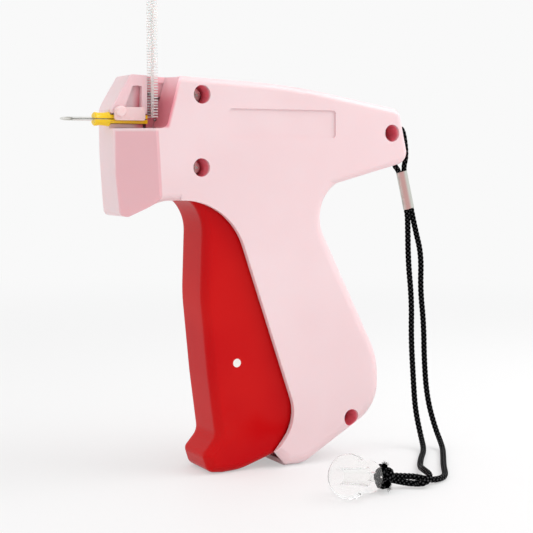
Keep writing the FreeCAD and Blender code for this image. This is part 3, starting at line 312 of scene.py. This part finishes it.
def wrapLine():
    # a trefoil: twice round the axis while it goes three times in and out and along
    turn = np.linspace(0, 2 * math.pi, knot["linePoints"])
    right, up, ahead = axisFrame(knot["axis"])
    outward, onward = knot["weave"]
    reach = knot["wrapRadius"] + outward * knot["wrapDepth"] * np.cos(3 * turn)
    ride = onward * knot["wrapDepth"] * np.sin(3 * turn)
    about = np.cos(2 * turn)[:, None] * right + np.sin(2 * turn)[:, None] * up
    return np.array(knot["centre"])[None, :] + reach[:, None] * about + ride[:, None] * ahead


def wrappedBraid(line):
    # the braid's rings on a closed line, their sides kept square to the knot's axis
    centre, along = evenLine(line, braid["ringStep"] * knot["ringStretch"])
    direction = unit(np.gradient(centre, axis=0))
    direction[0] = direction[-1] = unit((direction[0] + direction[-1])[None, :])[0]
    side = unit(np.cross(direction, axisFrame(knot["axis"])[2]))
    points, turn, height = braidRings(centre, along, direction, side, cordRadius)
    faces = gridFaces(len(along), braid["around"]).tolist()
    return braidPiece("strapKnot", points, faces, turn, along, height)


def fibreSpray(seed, base, heading):
    # thin hairs from a cord's cut end, spread in a cone about its heading, each sinking with the square of its length
    chance = np.random.default_rng(seed)
    count, joints, sides = fibres["count"], fibres["joints"], fibres["sides"]
    right, up, ahead = axisFrame(heading)
    angle = chance.uniform(0, 2 * math.pi, count)
    lean = chance.uniform(*fibres["lean"], count)
    length = chance.uniform(*fibres["length"], count)
    about = np.cos(angle)[:, None] * right + np.sin(angle)[:, None] * up
    root = np.array(base)[None, :] + about * (chance.uniform(0, fibres["rootSpread"], count) * cordRadius)[:, None]
    way = unit(ahead[None, :] * np.cos(lean)[:, None] + about * np.sin(lean)[:, None])
    sink = np.array([0, 0, fibres["droop"]])
    share = np.linspace(0, 1, joints)
    path = way[:, None, :] * share[None, :, None] + sink * (share ** 2)[None, :, None]
    spine = root[:, None, :] + path * length[:, None, None]
    corner = 2 * math.pi * np.arange(sides) / sides
    ring = np.cos(corner)[:, None] * right + np.sin(corner)[:, None] * up
    thick = fibres["radius"] * (1 - fibres["taper"] * share)
    points = spine[:, :, None, :] + ring[None, None, :, :] * thick[None, :, None, None]
    start = np.arange(count) * joints * sides
    faces = (gridFaces(joints, sides)[None, :, :] + start[:, None, None]).reshape(-1, 4)
    return points.reshape(-1, 3), faces.tolist()


def makeKnot():
    # the wrapped braid, and beside it two short cut ends with a tuft of fibres on each
    piece = wrappedBraid(wrapLine())
    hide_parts("strap_knot")
    right, up, ahead = axisFrame(knot["axis"])
    centre = np.array(knot["centre"])
    ends = []
    for index, tail in enumerate(knot["tails"]):
        base = centre + (right * tail["sideways"] + up * tail["rise"]) * mm - ahead * knot["tailBack"] * mm
        heading = unit(np.array(tail["heading"])[None, :])[0]
        line = base[None, :] + heading[None, :] * np.linspace(0, knot["tailLength"], knot["tailPoints"])[:, None]
        stub = braidedTube("strapTail" + str(index + 1), line, (0, 1, 0), cordRadius)
        tuftPoints, tuftFaces = fibreSpray(fibres["seed"] + index, line[-1], heading)
        tuft = addPiece("strapTuft" + str(index + 1), tuftPoints, tuftFaces, "housing")
        ends += [stub, tuft]
    return piece, ends


# shader nodes
def newGroup(name, inputs, outputs):
    group = bpy.data.node_groups.new(name, "ShaderNodeTree")
    for label, kind, value in inputs:
        socket = group.interface.new_socket(label, in_out="INPUT", socket_type=kind)
        if value is not None:
            socket.default_value = value
    for label in outputs:
        group.interface.new_socket(label, in_out="OUTPUT", socket_type="NodeSocketFloat")
    return group, group.nodes.new("NodeGroupInput"), group.nodes.new("NodeGroupOutput")


def feed(tree, socket, value):
    # a socket takes a number, a colour, or the output of another node
    if isinstance(value, (int, float, tuple)):
        socket.default_value = value
    else:
        tree.links.new(value, socket)


def mathNode(tree, operation, one, two=None):
    node = tree.nodes.new("ShaderNodeMath")
    node.operation = operation
    feed(tree, node.inputs[0], one)
    if two is not None:
        feed(tree, node.inputs[1], two)
    return node.outputs[0]


def product(tree, one, two):
    return mathNode(tree, "MULTIPLY", one, two)


def farFrom(tree, one, two):
    # the root of the sum of two squares
    return mathNode(tree, "SQRT", mathNode(tree, "ADD", product(tree, one, one), product(tree, two, two)))


def vectorNode(tree, operation, vector, other=None, output="Vector"):
    node = tree.nodes.new("ShaderNodeVectorMath")
    node.operation = operation
    tree.links.new(vector, node.inputs[0])
    if other is not None:
        node.inputs[1].default_value = other
    return node.outputs[output]


def splitNode(tree, vector):
    node = tree.nodes.new("ShaderNodeSeparateXYZ")
    tree.links.new(vector, node.inputs[0])
    return node.outputs[0], node.outputs[1], node.outputs[2]


def noiseNode(tree, vector, scale, detail, roughness):
    node = tree.nodes.new("ShaderNodeTexNoise")
    node.inputs["Detail"].default_value = detail
    node.inputs["Roughness"].default_value = roughness
    tree.links.new(vector, node.inputs["Vector"])
    feed(tree, node.inputs["Scale"], scale)
    return node.outputs["Fac"]


def rangeNode(tree, value, low, high, toLow=0.0, toHigh=1.0, smooth=True):
    node = tree.nodes.new("ShaderNodeMapRange")
    node.interpolation_type = "SMOOTHSTEP" if smooth else "LINEAR"
    for label, number in (("From Min", low), ("From Max", high), ("To Min", toLow), ("To Max", toHigh)):
        node.inputs[label].default_value = number
    tree.links.new(value, node.inputs["Value"])
    return node.outputs["Result"]


def mixColour(tree, share, one, two):
    node = tree.nodes.new("ShaderNodeMix")
    node.data_type = "RGBA"
    for place, value in ((0, share), (6, one), (7, two)):
        feed(tree, node.inputs[place], value)
    return node.outputs[2]


def mouldGrainGroup():
    # the fine pebbled skin of a moulding, its slow colour drift and its handling smudges
    inputs = [("Vector", "NodeSocketVector", None), ("Grain", "NodeSocketFloat", 2600.0)]
    group, given, out = newGroup("mouldGrain", inputs, ["Height", "Drift", "Smudge"])
    fine = noiseNode(group, given.outputs["Vector"], given.outputs["Grain"], 3.0, 0.55)
    drift = noiseNode(group, given.outputs["Vector"], 22.0, 2.0, 0.5)
    smudge = noiseNode(group, given.outputs["Vector"], 70.0, 4.0, 0.6)
    group.links.new(fine, out.inputs["Height"])
    group.links.new(rangeNode(group, drift, 0.35, 0.65), out.inputs["Drift"])
    group.links.new(rangeNode(group, smudge, 0.50, 0.72), out.inputs["Smudge"])
    return group


def drawnLinesGroup():
    # fine lines along one direction, from drawing or grinding the metal, and duller patches
    inputs = [("Vector", "NodeSocketVector", None), ("Lines", "NodeSocketFloat", 900.0)]
    group, given, out = newGroup("drawnLines", inputs, ["Height", "Dull"])
    fine = noiseNode(group, given.outputs["Vector"], given.outputs["Lines"], 3.0, 0.6)
    patch = noiseNode(group, given.outputs["Vector"], 60.0, 3.0, 0.6)
    group.links.new(fine, out.inputs["Height"])
    group.links.new(rangeNode(group, patch, 0.42, 0.70), out.inputs["Dull"])
    return group


groups = {"mouldGrain": mouldGrainGroup(), "drawnLines": drawnLinesGroup()}


def groupNode(tree, name):
    node = tree.nodes.new("ShaderNodeGroup")
    node.node_tree = groups[name]
    return node


def objectVector(tree):
    return tree.nodes.new("ShaderNodeTexCoord").outputs["Object"]


def stretched(tree, vector, stretch):
    # the vector with each of its axes multiplied
    mapping = tree.nodes.new("ShaderNodeMapping")
    mapping.inputs["Scale"].default_value = stretch
    tree.links.new(vector, mapping.inputs["Vector"])
    return mapping.outputs["Vector"]


def startMaterial(name):
    material = bpy.data.materials.new(name)
    material.use_nodes = True
    return material, material.node_tree, material.node_tree.nodes["Principled BSDF"]


def addBump(tree, shader, height, strength, distance):
    bump = tree.nodes.new("ShaderNodeBump")
    bump.inputs["Strength"].default_value = strength
    bump.inputs["Distance"].default_value = distance
    tree.links.new(height, bump.inputs["Height"])
    tree.links.new(bump.outputs["Normal"], shader.inputs["Normal"])


def setRoughness(tree, shader, share, rough):
    # from the first roughness to the second as the share goes from 0 to 1
    tree.links.new(rangeNode(tree, share, 0, 1, *rough, smooth=False), shader.inputs["Roughness"])


softLight = {"radius": (1.0, 0.45, 0.40), "scale": 0.0025}   # how far red, green and blue light spreads in the plastics


def mouldedPlastic(name, light, dark, rough, grain=2600.0, depth=0.00002, strength=0.25, soft=0.0, specular=0.5):
    # a moulded plastic: two near colours that drift, handling smudges in the gloss and a fine grain
    material, tree, shader = startMaterial(name)
    skin = groupNode(tree, "mouldGrain")
    skin.inputs["Grain"].default_value = grain
    tree.links.new(objectVector(tree), skin.inputs["Vector"])
    tree.links.new(mixColour(tree, skin.outputs["Drift"], light, dark), shader.inputs["Base Color"])
    setRoughness(tree, shader, skin.outputs["Smudge"], rough)
    addBump(tree, shader, skin.outputs["Height"], strength, depth)
    shader.inputs["Specular IOR Level"].default_value = specular
    if soft:
        shader.inputs["Subsurface Weight"].default_value = soft
        shader.inputs["Subsurface Radius"].default_value = softLight["radius"]
        shader.inputs["Subsurface Scale"].default_value = softLight["scale"]
    return material


def drawnMetal(name, light, dark, rough, stretch=(1, 1, 12), lines=900.0, depth=0.00001):
    # a bare metal: fine lines along the axis that is stretched least, and patches that are duller and darker
    material, tree, shader = startMaterial(name)
    vector = objectVector(tree)
    skin = groupNode(tree, "drawnLines")
    skin.inputs["Lines"].default_value = lines
    tree.links.new(stretched(tree, vector, stretch), skin.inputs["Vector"])
    tree.links.new(mixColour(tree, skin.outputs["Dull"], light, dark), shader.inputs["Base Color"])
    setRoughness(tree, shader, skin.outputs["Dull"], rough)
    addBump(tree, shader, skin.outputs["Height"], 0.3, depth)
    shader.inputs["Metallic"].default_value = 1.0
    return material


def baseOf(material):
    # a material's tree, its shader, and what feeds its colour
    tree = material.node_tree
    shader = tree.nodes["Principled BSDF"]
    return tree, shader, shader.inputs["Base Color"].links[0].from_socket


# housing
housing = {
    "name": "housingPink",
    "light": screenToLinear(240, 213, 216),
    "dark": screenToLinear(237, 207, 210),
    "rough": (0.34, 0.46),
    "soft": 0.2,
}
# painted glow: the deep pink of the screw wells' walls stands in for light that has gone through the plastic and
# bounced round the wells
paintedWellGlow = {
    "colour": screenToLinear(255, 132, 150),      # where the light has gone through the plastic
    "screws": ("screw_front_upper", "screw_front_lower", "screw_rear", "screw_heel"),
    "radius": 3.35 * mm,
    "rim": 0.2 * mm,
    "side": -12.5 * mm,                           # y of the flat side face
    "mouth": (0.15 * mm, 2.2 * mm),               # depths between which the colour comes in
    "end": (2.0 * mm, 0.0),                       # y between which it goes out again
}
# painted shade and glow: a deeper pink in the open corner of the nose where shade falls, lighter towards the top as a
# painted glow of light through the plastic
corner = {
    "colour": screenToLinear(228, 136, 148),
    "paintedTopGlow": screenToLinear(254, 202, 209),
    "radius": 11.56,                              # mm, of the slanted scoop that opens the nose's corner
    "axis": (-37.2, -6.0, 135.7),
    "lean": 0.274,                                # backwards per mm of height
    "rim": (0.15, 1.2),                           # mm outside it, over which the deeper pink fades
    "front": (-39.5, -36.5),
    "ledge": 118.9,                               # mm, floor of the corner
    "ledgeRim": (-0.3, 0.9),
    "rise": 9,                                    # mm below the top, where the top's colour starts
}
# painted shade: a darker, deeper pink on the nose's left bevel, for the less light that face gets
paintedBevelShade = {
    "colour": screenToLinear(233, 182, 188),
    "across": (-0.586, -0.810, -0.032),           # outward from the nose's left bevel, which widens downwards
    "reach": 27.0,                                # mm along that direction, just inside the bevel
    "reachRim": 0.2,
    "top": 118.4,
    "topRim": 0.8,
    "front": -47.2,
    "frontRim": 0.6,
}


def paintedWellGlowMask(tree, vector):
    # 1 inside each screw well, where the painted glow goes: near its axis, and between the side face and the middle of
    # the part
    x, y, z = splitNode(tree, vector)
    nearest = None
    for node in paintedWellGlow["screws"]:
        low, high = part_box(node)
        away = farFrom(tree, mathNode(tree, "SUBTRACT", x, float((low.x + high.x) / 2)),
                       mathNode(tree, "SUBTRACT", z, float((low.z + high.z) / 2)))
        nearest = away if nearest is None else mathNode(tree, "MINIMUM", nearest, away)
    radial = rangeNode(tree, nearest, paintedWellGlow["radius"], paintedWellGlow["radius"] - paintedWellGlow["rim"])
    shallow, deep = paintedWellGlow["mouth"]
    inward = rangeNode(tree, y, paintedWellGlow["side"] + shallow, paintedWellGlow["side"] + deep)
    ended = rangeNode(tree, y, *paintedWellGlow["end"])
    return product(tree, radial, product(tree, inward, ended))


def paintedCornerShadeMasks(tree, vector):
    # 1 inside the slanted scoop of the nose's open corner, where the painted shade goes, and how far up it a point is,
    # for the painted glow near the top
    x, y, z = splitNode(tree, vector)
    axisX, axisY, topZ = (value * mm for value in corner["axis"])
    lean = product(tree, mathNode(tree, "SUBTRACT", z, topZ), corner["lean"])
    fromAxis = mathNode(tree, "SUBTRACT", mathNode(tree, "SUBTRACT", x, axisX), lean)
    reach = farFrom(tree, fromAxis, mathNode(tree, "SUBTRACT", y, axisY))
    near, far = ((corner["radius"] + rim) * mm for rim in corner["rim"])
    inside = rangeNode(tree, reach, far, near)
    behind = rangeNode(tree, x, *(value * mm for value in corner["front"]))
    above = rangeNode(tree, z, *((corner["ledge"] + rim) * mm for rim in corner["ledgeRim"]))
    mask = product(tree, inside, product(tree, behind, above))
    return mask, rangeNode(tree, z, topZ - corner["rise"] * mm, topZ)


def paintedBevelShadeMask(tree, vector):
    # 1 on the nose's left bevel, where the painted shade goes, apart from its rounded upper and front edges
    x, y, z = splitNode(tree, vector)
    outward = vectorNode(tree, "DOT_PRODUCT", vector, paintedBevelShade["across"], "Value")
    reach, top, front = paintedBevelShade["reach"] * mm, paintedBevelShade["top"] * mm, paintedBevelShade["front"] * mm
    mask = rangeNode(tree, outward, reach - paintedBevelShade["reachRim"] * mm, reach)
    below = rangeNode(tree, z, top, (paintedBevelShade["top"] - paintedBevelShade["topRim"]) * mm)
    behind = rangeNode(tree, x, front, (paintedBevelShade["front"] + paintedBevelShade["frontRim"]) * mm)
    return product(tree, mask, product(tree, below, behind))


def housingMaterial():
    # the moulded pink, with painted shade on the bevel, painted shade and glow in the open corner and painted glow in
    # the screw wells laid over it in that order
    material = mouldedPlastic(**housing)
    tree, shader, colour = baseOf(material)
    vector = objectVector(tree)
    colour = mixColour(tree, paintedBevelShadeMask(tree, vector), colour, paintedBevelShade["colour"])
    mask, rise = paintedCornerShadeMasks(tree, vector)
    colour = mixColour(tree, mask, colour, mixColour(tree, rise, corner["colour"], corner["paintedTopGlow"]))
    colour = mixColour(tree, paintedWellGlowMask(tree, vector), colour, paintedWellGlow["colour"])
    tree.links.new(colour, shader.inputs["Base Color"])
    return material


# other finishes
# the braid's colour: painted shade near black in its grooves, and a greyer painted highlight on the crowns of its
# strands
cordFinish = {
    "grooveShade": screenToLinear(1, 1, 2),
    "crownHighlight": screenToLinear(50, 50, 52),
    "crownFrom": (0.76, 1.0),              # heights of the braid between which the crown's colour comes in
    "lay": (60.0, 26.0, 1.0),              # the fibres' noise is stretched along the cord
    "fibreScale": 6.0,
    "fibreRange": (0.25, 0.60),
    "rough": 0.5,
    "shine": 0.4,                          # specular level on the crowns
    "bump": (0.5, 0.00008),
}
capFinish = {
    "light": screenToLinear(255, 255, 255),
    "dark": screenToLinear(251, 251, 250),
    "rough": (0.10, 0.18),
    "grain": 500.0,
    "transmission": 0.94,
    "ior": 1.08,                           # low, so that the thin wall shows what is behind it almost straight
    "bump": (0.05, 0.0001),
}
clipFinish = {
    "look": {"name": "fastenerWhite", "light": screenToLinear(253, 250, 248), "dark": screenToLinear(248, 244, 242),
             "rough": (0.30, 0.42), "soft": 0.3},
    "transmission": 0.25,
    "ior": 1.15,
}
ferrule = {
    "look": {"name": "ferruleSilver", "light": screenToLinear(208, 209, 202), "dark": screenToLinear(182, 184, 178),
             "rough": (0.28, 0.42), "stretch": (12, 12, 1), "lines": 700.0},
    # painted reflection: a pink stripe laid on the middle of the face that looks towards the camera
    "axis": (0.245, 0.0, -0.969),
    "face": (-0.475, -0.876, 0.085),       # outward from the middle of its stripe
    "stripeHalf": 1.7 * mm,
    "stripeCore": 0.25,                    # share of that half over which the stripe is full
    "stripeShift": -0.3 * mm,
    "reflectedPink": screenToLinear(200, 158, 154),
}
plastics = {
    "nose_plate_plastic": {"name": "nosePink", "light": screenToLinear(241, 208, 212),
                           "dark": screenToLinear(238, 200, 205), "rough": (0.32, 0.44), "soft": 0.2},
    "trigger_plastic": {"name": "triggerRed", "light": screenToLinear(200, 20, 20),
                        "dark": screenToLinear(190, 5, 14), "rough": (0.14, 0.24), "grain": 1500.0,
                        "depth": 0.00001, "strength": 0.15, "specular": 0.08},
    "pin_plastic": {"name": "pinWhite", "light": screenToLinear(242, 240, 235),
                    "dark": screenToLinear(232, 230, 224), "rough": (0.35, 0.5)},
    "lever_plastic": {"name": "whiteMoulding", "light": screenToLinear(236, 234, 228),
                      "dark": screenToLinear(229, 226, 219), "rough": (0.38, 0.52)},
    "gear_plastic": {"name": "gearPink", "light": screenToLinear(232, 170, 180),
                     "dark": screenToLinear(226, 160, 172), "rough": (0.35, 0.5)},
    "lock_plastic": {"name": "lockPink", "light": screenToLinear(246, 216, 216),
                     "dark": screenToLinear(241, 208, 209), "rough": (0.25, 0.35), "soft": 0.25},
    "needle_base_plastic": {"name": "baseYellow", "light": screenToLinear(252, 208, 10),
                            "dark": screenToLinear(246, 186, 6), "rough": (0.22, 0.32), "soft": 0.15},
}
metals = {
    "steel_pin": {"name": "pinSteel", "light": screenToLinear(196, 197, 199),
                  "dark": screenToLinear(170, 171, 174), "rough": (0.22, 0.38)},
    "spring_steel": {"name": "springSteel", "light": screenToLinear(180, 181, 184),
                     "dark": screenToLinear(150, 151, 155), "rough": (0.25, 0.40)},
    "needle_steel": {"name": "needleSteel", "light": screenToLinear(238, 238, 236),
                     "dark": screenToLinear(214, 212, 206), "rough": (0.10, 0.20), "stretch": (1, 12, 12),
                     "lines": 1400.0},
    "screw_steel": {"name": "screwPlated", "light": screenToLinear(226, 224, 220),
                    "dark": screenToLinear(170, 168, 164), "rough": (0.16, 0.38), "stretch": (1, 1, 1),
                    "lines": 1800.0, "depth": 0.00003},
}


def cordMaterial():
    # black polyester braid: painted shade near black in its grooves and a greyer painted highlight on its strands, with
    # fibres along the cord
    material, tree, shader = startMaterial("blackBraid")
    uv = tree.nodes.new("ShaderNodeUVMap")
    uv.uv_map = "lay"
    fibre = noiseNode(tree, stretched(tree, uv.outputs["UV"], cordFinish["lay"]), cordFinish["fibreScale"], 3.0, 0.6)
    height = tree.nodes.new("ShaderNodeAttribute")
    height.attribute_name = "braid"
    crownHighlight = rangeNode(tree, height.outputs["Fac"], *cordFinish["crownFrom"])
    lit = product(tree, crownHighlight, rangeNode(tree, fibre, *cordFinish["fibreRange"]))
    tree.links.new(mixColour(tree, lit, cordFinish["grooveShade"], cordFinish["crownHighlight"]), shader.inputs["Base Color"])
    shader.inputs["Roughness"].default_value = cordFinish["rough"]
    tree.links.new(product(tree, crownHighlight, cordFinish["shine"]), shader.inputs["Specular IOR Level"])
    addBump(tree, shader, fibre, *cordFinish["bump"])
    return material


def capMaterial():
    # clear moulded plastic with faint flow marks
    material, tree, shader = startMaterial("clearCap")
    skin = groupNode(tree, "mouldGrain")
    skin.inputs["Grain"].default_value = capFinish["grain"]
    tree.links.new(objectVector(tree), skin.inputs["Vector"])
    colour = mixColour(tree, skin.outputs["Drift"], capFinish["light"], capFinish["dark"])
    tree.links.new(colour, shader.inputs["Base Color"])
    setRoughness(tree, shader, skin.outputs["Smudge"], capFinish["rough"])
    shader.inputs["Transmission Weight"].default_value = capFinish["transmission"]
    shader.inputs["IOR"].default_value = capFinish["ior"]
    addBump(tree, shader, skin.outputs["Drift"], *capFinish["bump"])
    return material


def clipMaterial():
    # milky fastener plastic: thin bars let part of the light through
    material = mouldedPlastic(**clipFinish["look"])
    shader = baseOf(material)[1]
    shader.inputs["Transmission Weight"].default_value = clipFinish["transmission"]
    shader.inputs["IOR"].default_value = clipFinish["ior"]
    return material


def ferruleMaterial():
    # a thin crimped tube: grey at its two sides, with a painted pink reflection in a stripe along the middle of its
    # face
    material = drawnMetal(**ferrule["look"])
    tree, shader, grey = baseOf(material)
    low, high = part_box("strap_ferrule")
    across = Vector(ferrule["axis"]).cross(Vector(ferrule["face"])).normalized()
    offset = vectorNode(tree, "SUBTRACT", objectVector(tree), (low + high) / 2)
    sideways = vectorNode(tree, "DOT_PRODUCT", offset, across, "Value")
    fromMiddle = mathNode(tree, "ABSOLUTE", mathNode(tree, "ADD", sideways, ferrule["stripeShift"]))
    reflectionStripe = rangeNode(tree, fromMiddle, ferrule["stripeHalf"], ferrule["stripeCore"] * ferrule["stripeHalf"])
    tree.links.new(mixColour(tree, reflectionStripe, grey, ferrule["reflectedPink"]), shader.inputs["Base Color"])
    return material


def dressNodes(cord):
    # every slot of the part's own pieces gets its finish
    finishes = {slot: mouldedPlastic(**look) for slot, look in plastics.items()}
    finishes.update({slot: drawnMetal(**look) for slot, look in metals.items()})
    finishes["slider_plastic"] = finishes["lever_plastic"]
    finishes["housing_plastic"] = housingMaterial()
    finishes["fastener_plastic"] = clipMaterial()
    finishes["cap_plastic"] = capMaterial()
    finishes["ferrule_metal"] = ferruleMaterial()
    finishes["strap_cord"] = cord
    for node in nodes.values():
        for holder in node.material_slots:
            holder.material = finishes[holder.material.name.split(".")[0]]


# studio
studio = {
    "background": screenToLinear(249, 249, 249),
    "skyColour": (1, 1, 1, 1),
    "skyLevel": 0.80,
    "skyTilt": (-0.12, -0.06, 0.22),       # how much brighter the sky is towards each axis
    "lampFrom": (0.70, -0.32, 0.72),
    "lampAim": (0.0, 0.0, 0.08),
    "lampAway": 0.48,                      # metres
    "lampPower": 1.17,
    "lampSize": 0.40,                      # metres across, for soft shadows
    "floorHalf": 4.0,                      # metres
    "floorColour": screenToLinear(235, 235, 235),
    "floorRough": 0.6,
    "floorGlow": 0.45,                     # share of the floor's look that its shadows don't reach
    "floorFade": (0.22, 0.75),             # metres from the object over which the floor becomes the backdrop
}


def seenShare(tree):
    # 1 for rays from the camera, from a shiny surface or through glass
    path = tree.nodes.new("ShaderNodeLightPath")
    seen = mathNode(tree, "MAXIMUM", path.outputs["Is Camera Ray"], path.outputs["Is Glossy Ray"])
    return mathNode(tree, "MAXIMUM", seen, path.outputs["Is Transmission Ray"])


def mixShader(tree, share, one, two, target):
    mix = tree.nodes.new("ShaderNodeMixShader")
    for socket, value in zip(mix.inputs, (share, one, two)):
        tree.links.new(value, socket)
    tree.links.new(mix.outputs[0], target)


def makeWorld():
    # a sky whose brightness changes evenly along one direction, and a plain pale backdrop where it is seen
    world = bpy.data.worlds.new("studio")
    bpy.context.scene.world = world
    world.use_nodes = True
    tree = world.node_tree
    tree.nodes.clear()
    out = tree.nodes.new("ShaderNodeOutputWorld")
    heading = tree.nodes.new("ShaderNodeTexCoord").outputs["Generated"]
    tilt = vectorNode(tree, "DOT_PRODUCT", heading, studio["skyTilt"], "Value")
    sky = tree.nodes.new("ShaderNodeBackground")
    sky.inputs["Color"].default_value = studio["skyColour"]
    tree.links.new(mathNode(tree, "ADD", tilt, studio["skyLevel"]), sky.inputs["Strength"])
    backdrop = tree.nodes.new("ShaderNodeBackground")
    backdrop.inputs["Color"].default_value = studio["background"]
    mixShader(tree, seenShare(tree), sky.outputs[0], backdrop.outputs[0], out.inputs[0])


def makeLamp():
    # one wide lamp, near enough that the object's lower parts get a little less of it
    data = bpy.data.lights.new("keyLamp", "AREA")
    data.shape = "DISK"
    data.size = studio["lampSize"]
    data.energy = studio["lampPower"]
    lamp = bpy.data.objects.new("keyLamp", data)
    away = Vector(studio["lampFrom"]).normalized()
    lamp.location = Vector(studio["lampAim"]) + away * studio["lampAway"]
    lamp.rotation_euler = (-away).to_track_quat("-Z", "Y").to_euler()
    bpy.context.scene.collection.objects.link(lamp)


def makeFloor():
    # a plane for the shadows; where it is seen, part of its look is the backdrop's colour, and further off all of it
    half = studio["floorHalf"]
    mesh = bpy.data.meshes.new("floor")
    square = [(-half, -half, 0), (half, -half, 0), (half, half, 0), (-half, half, 0)]
    mesh.from_pydata(square, [], [(0, 1, 2, 3)])
    floor = bpy.data.objects.new("floor", mesh)
    bpy.context.scene.collection.objects.link(floor)
    material, tree, shader = startMaterial("paleFloor")
    shader.inputs["Base Color"].default_value = studio["floorColour"]
    shader.inputs["Roughness"].default_value = studio["floorRough"]
    distance = vectorNode(tree, "LENGTH", objectVector(tree), None, "Value")
    share = rangeNode(tree, distance, *studio["floorFade"], studio["floorGlow"], 1.0)
    glow = tree.nodes.new("ShaderNodeEmission")
    glow.inputs["Color"].default_value = studio["background"]
    surface = tree.nodes["Material Output"].inputs["Surface"]
    mixShader(tree, product(tree, seenShare(tree), share), shader.outputs[0], glow.outputs[0], surface)
    mesh.materials.append(material)


# everything
makeCamera()
print("camera placed")
strapPieces = [makeCord(cord) for cord in (loopCord, leftCord, rightCord)]
knotPiece, knotEnds = makeKnot()
print("strap made")
blackBraid = cordMaterial()
dressNodes(blackBraid)
for piece in [*[piece for piece, line in strapPieces], knotPiece, *knotEnds]:
    piece.data.materials.append(blackBraid)
print("finishes made")
makeWorld()
makeLamp()
makeFloor()
print("studio made")
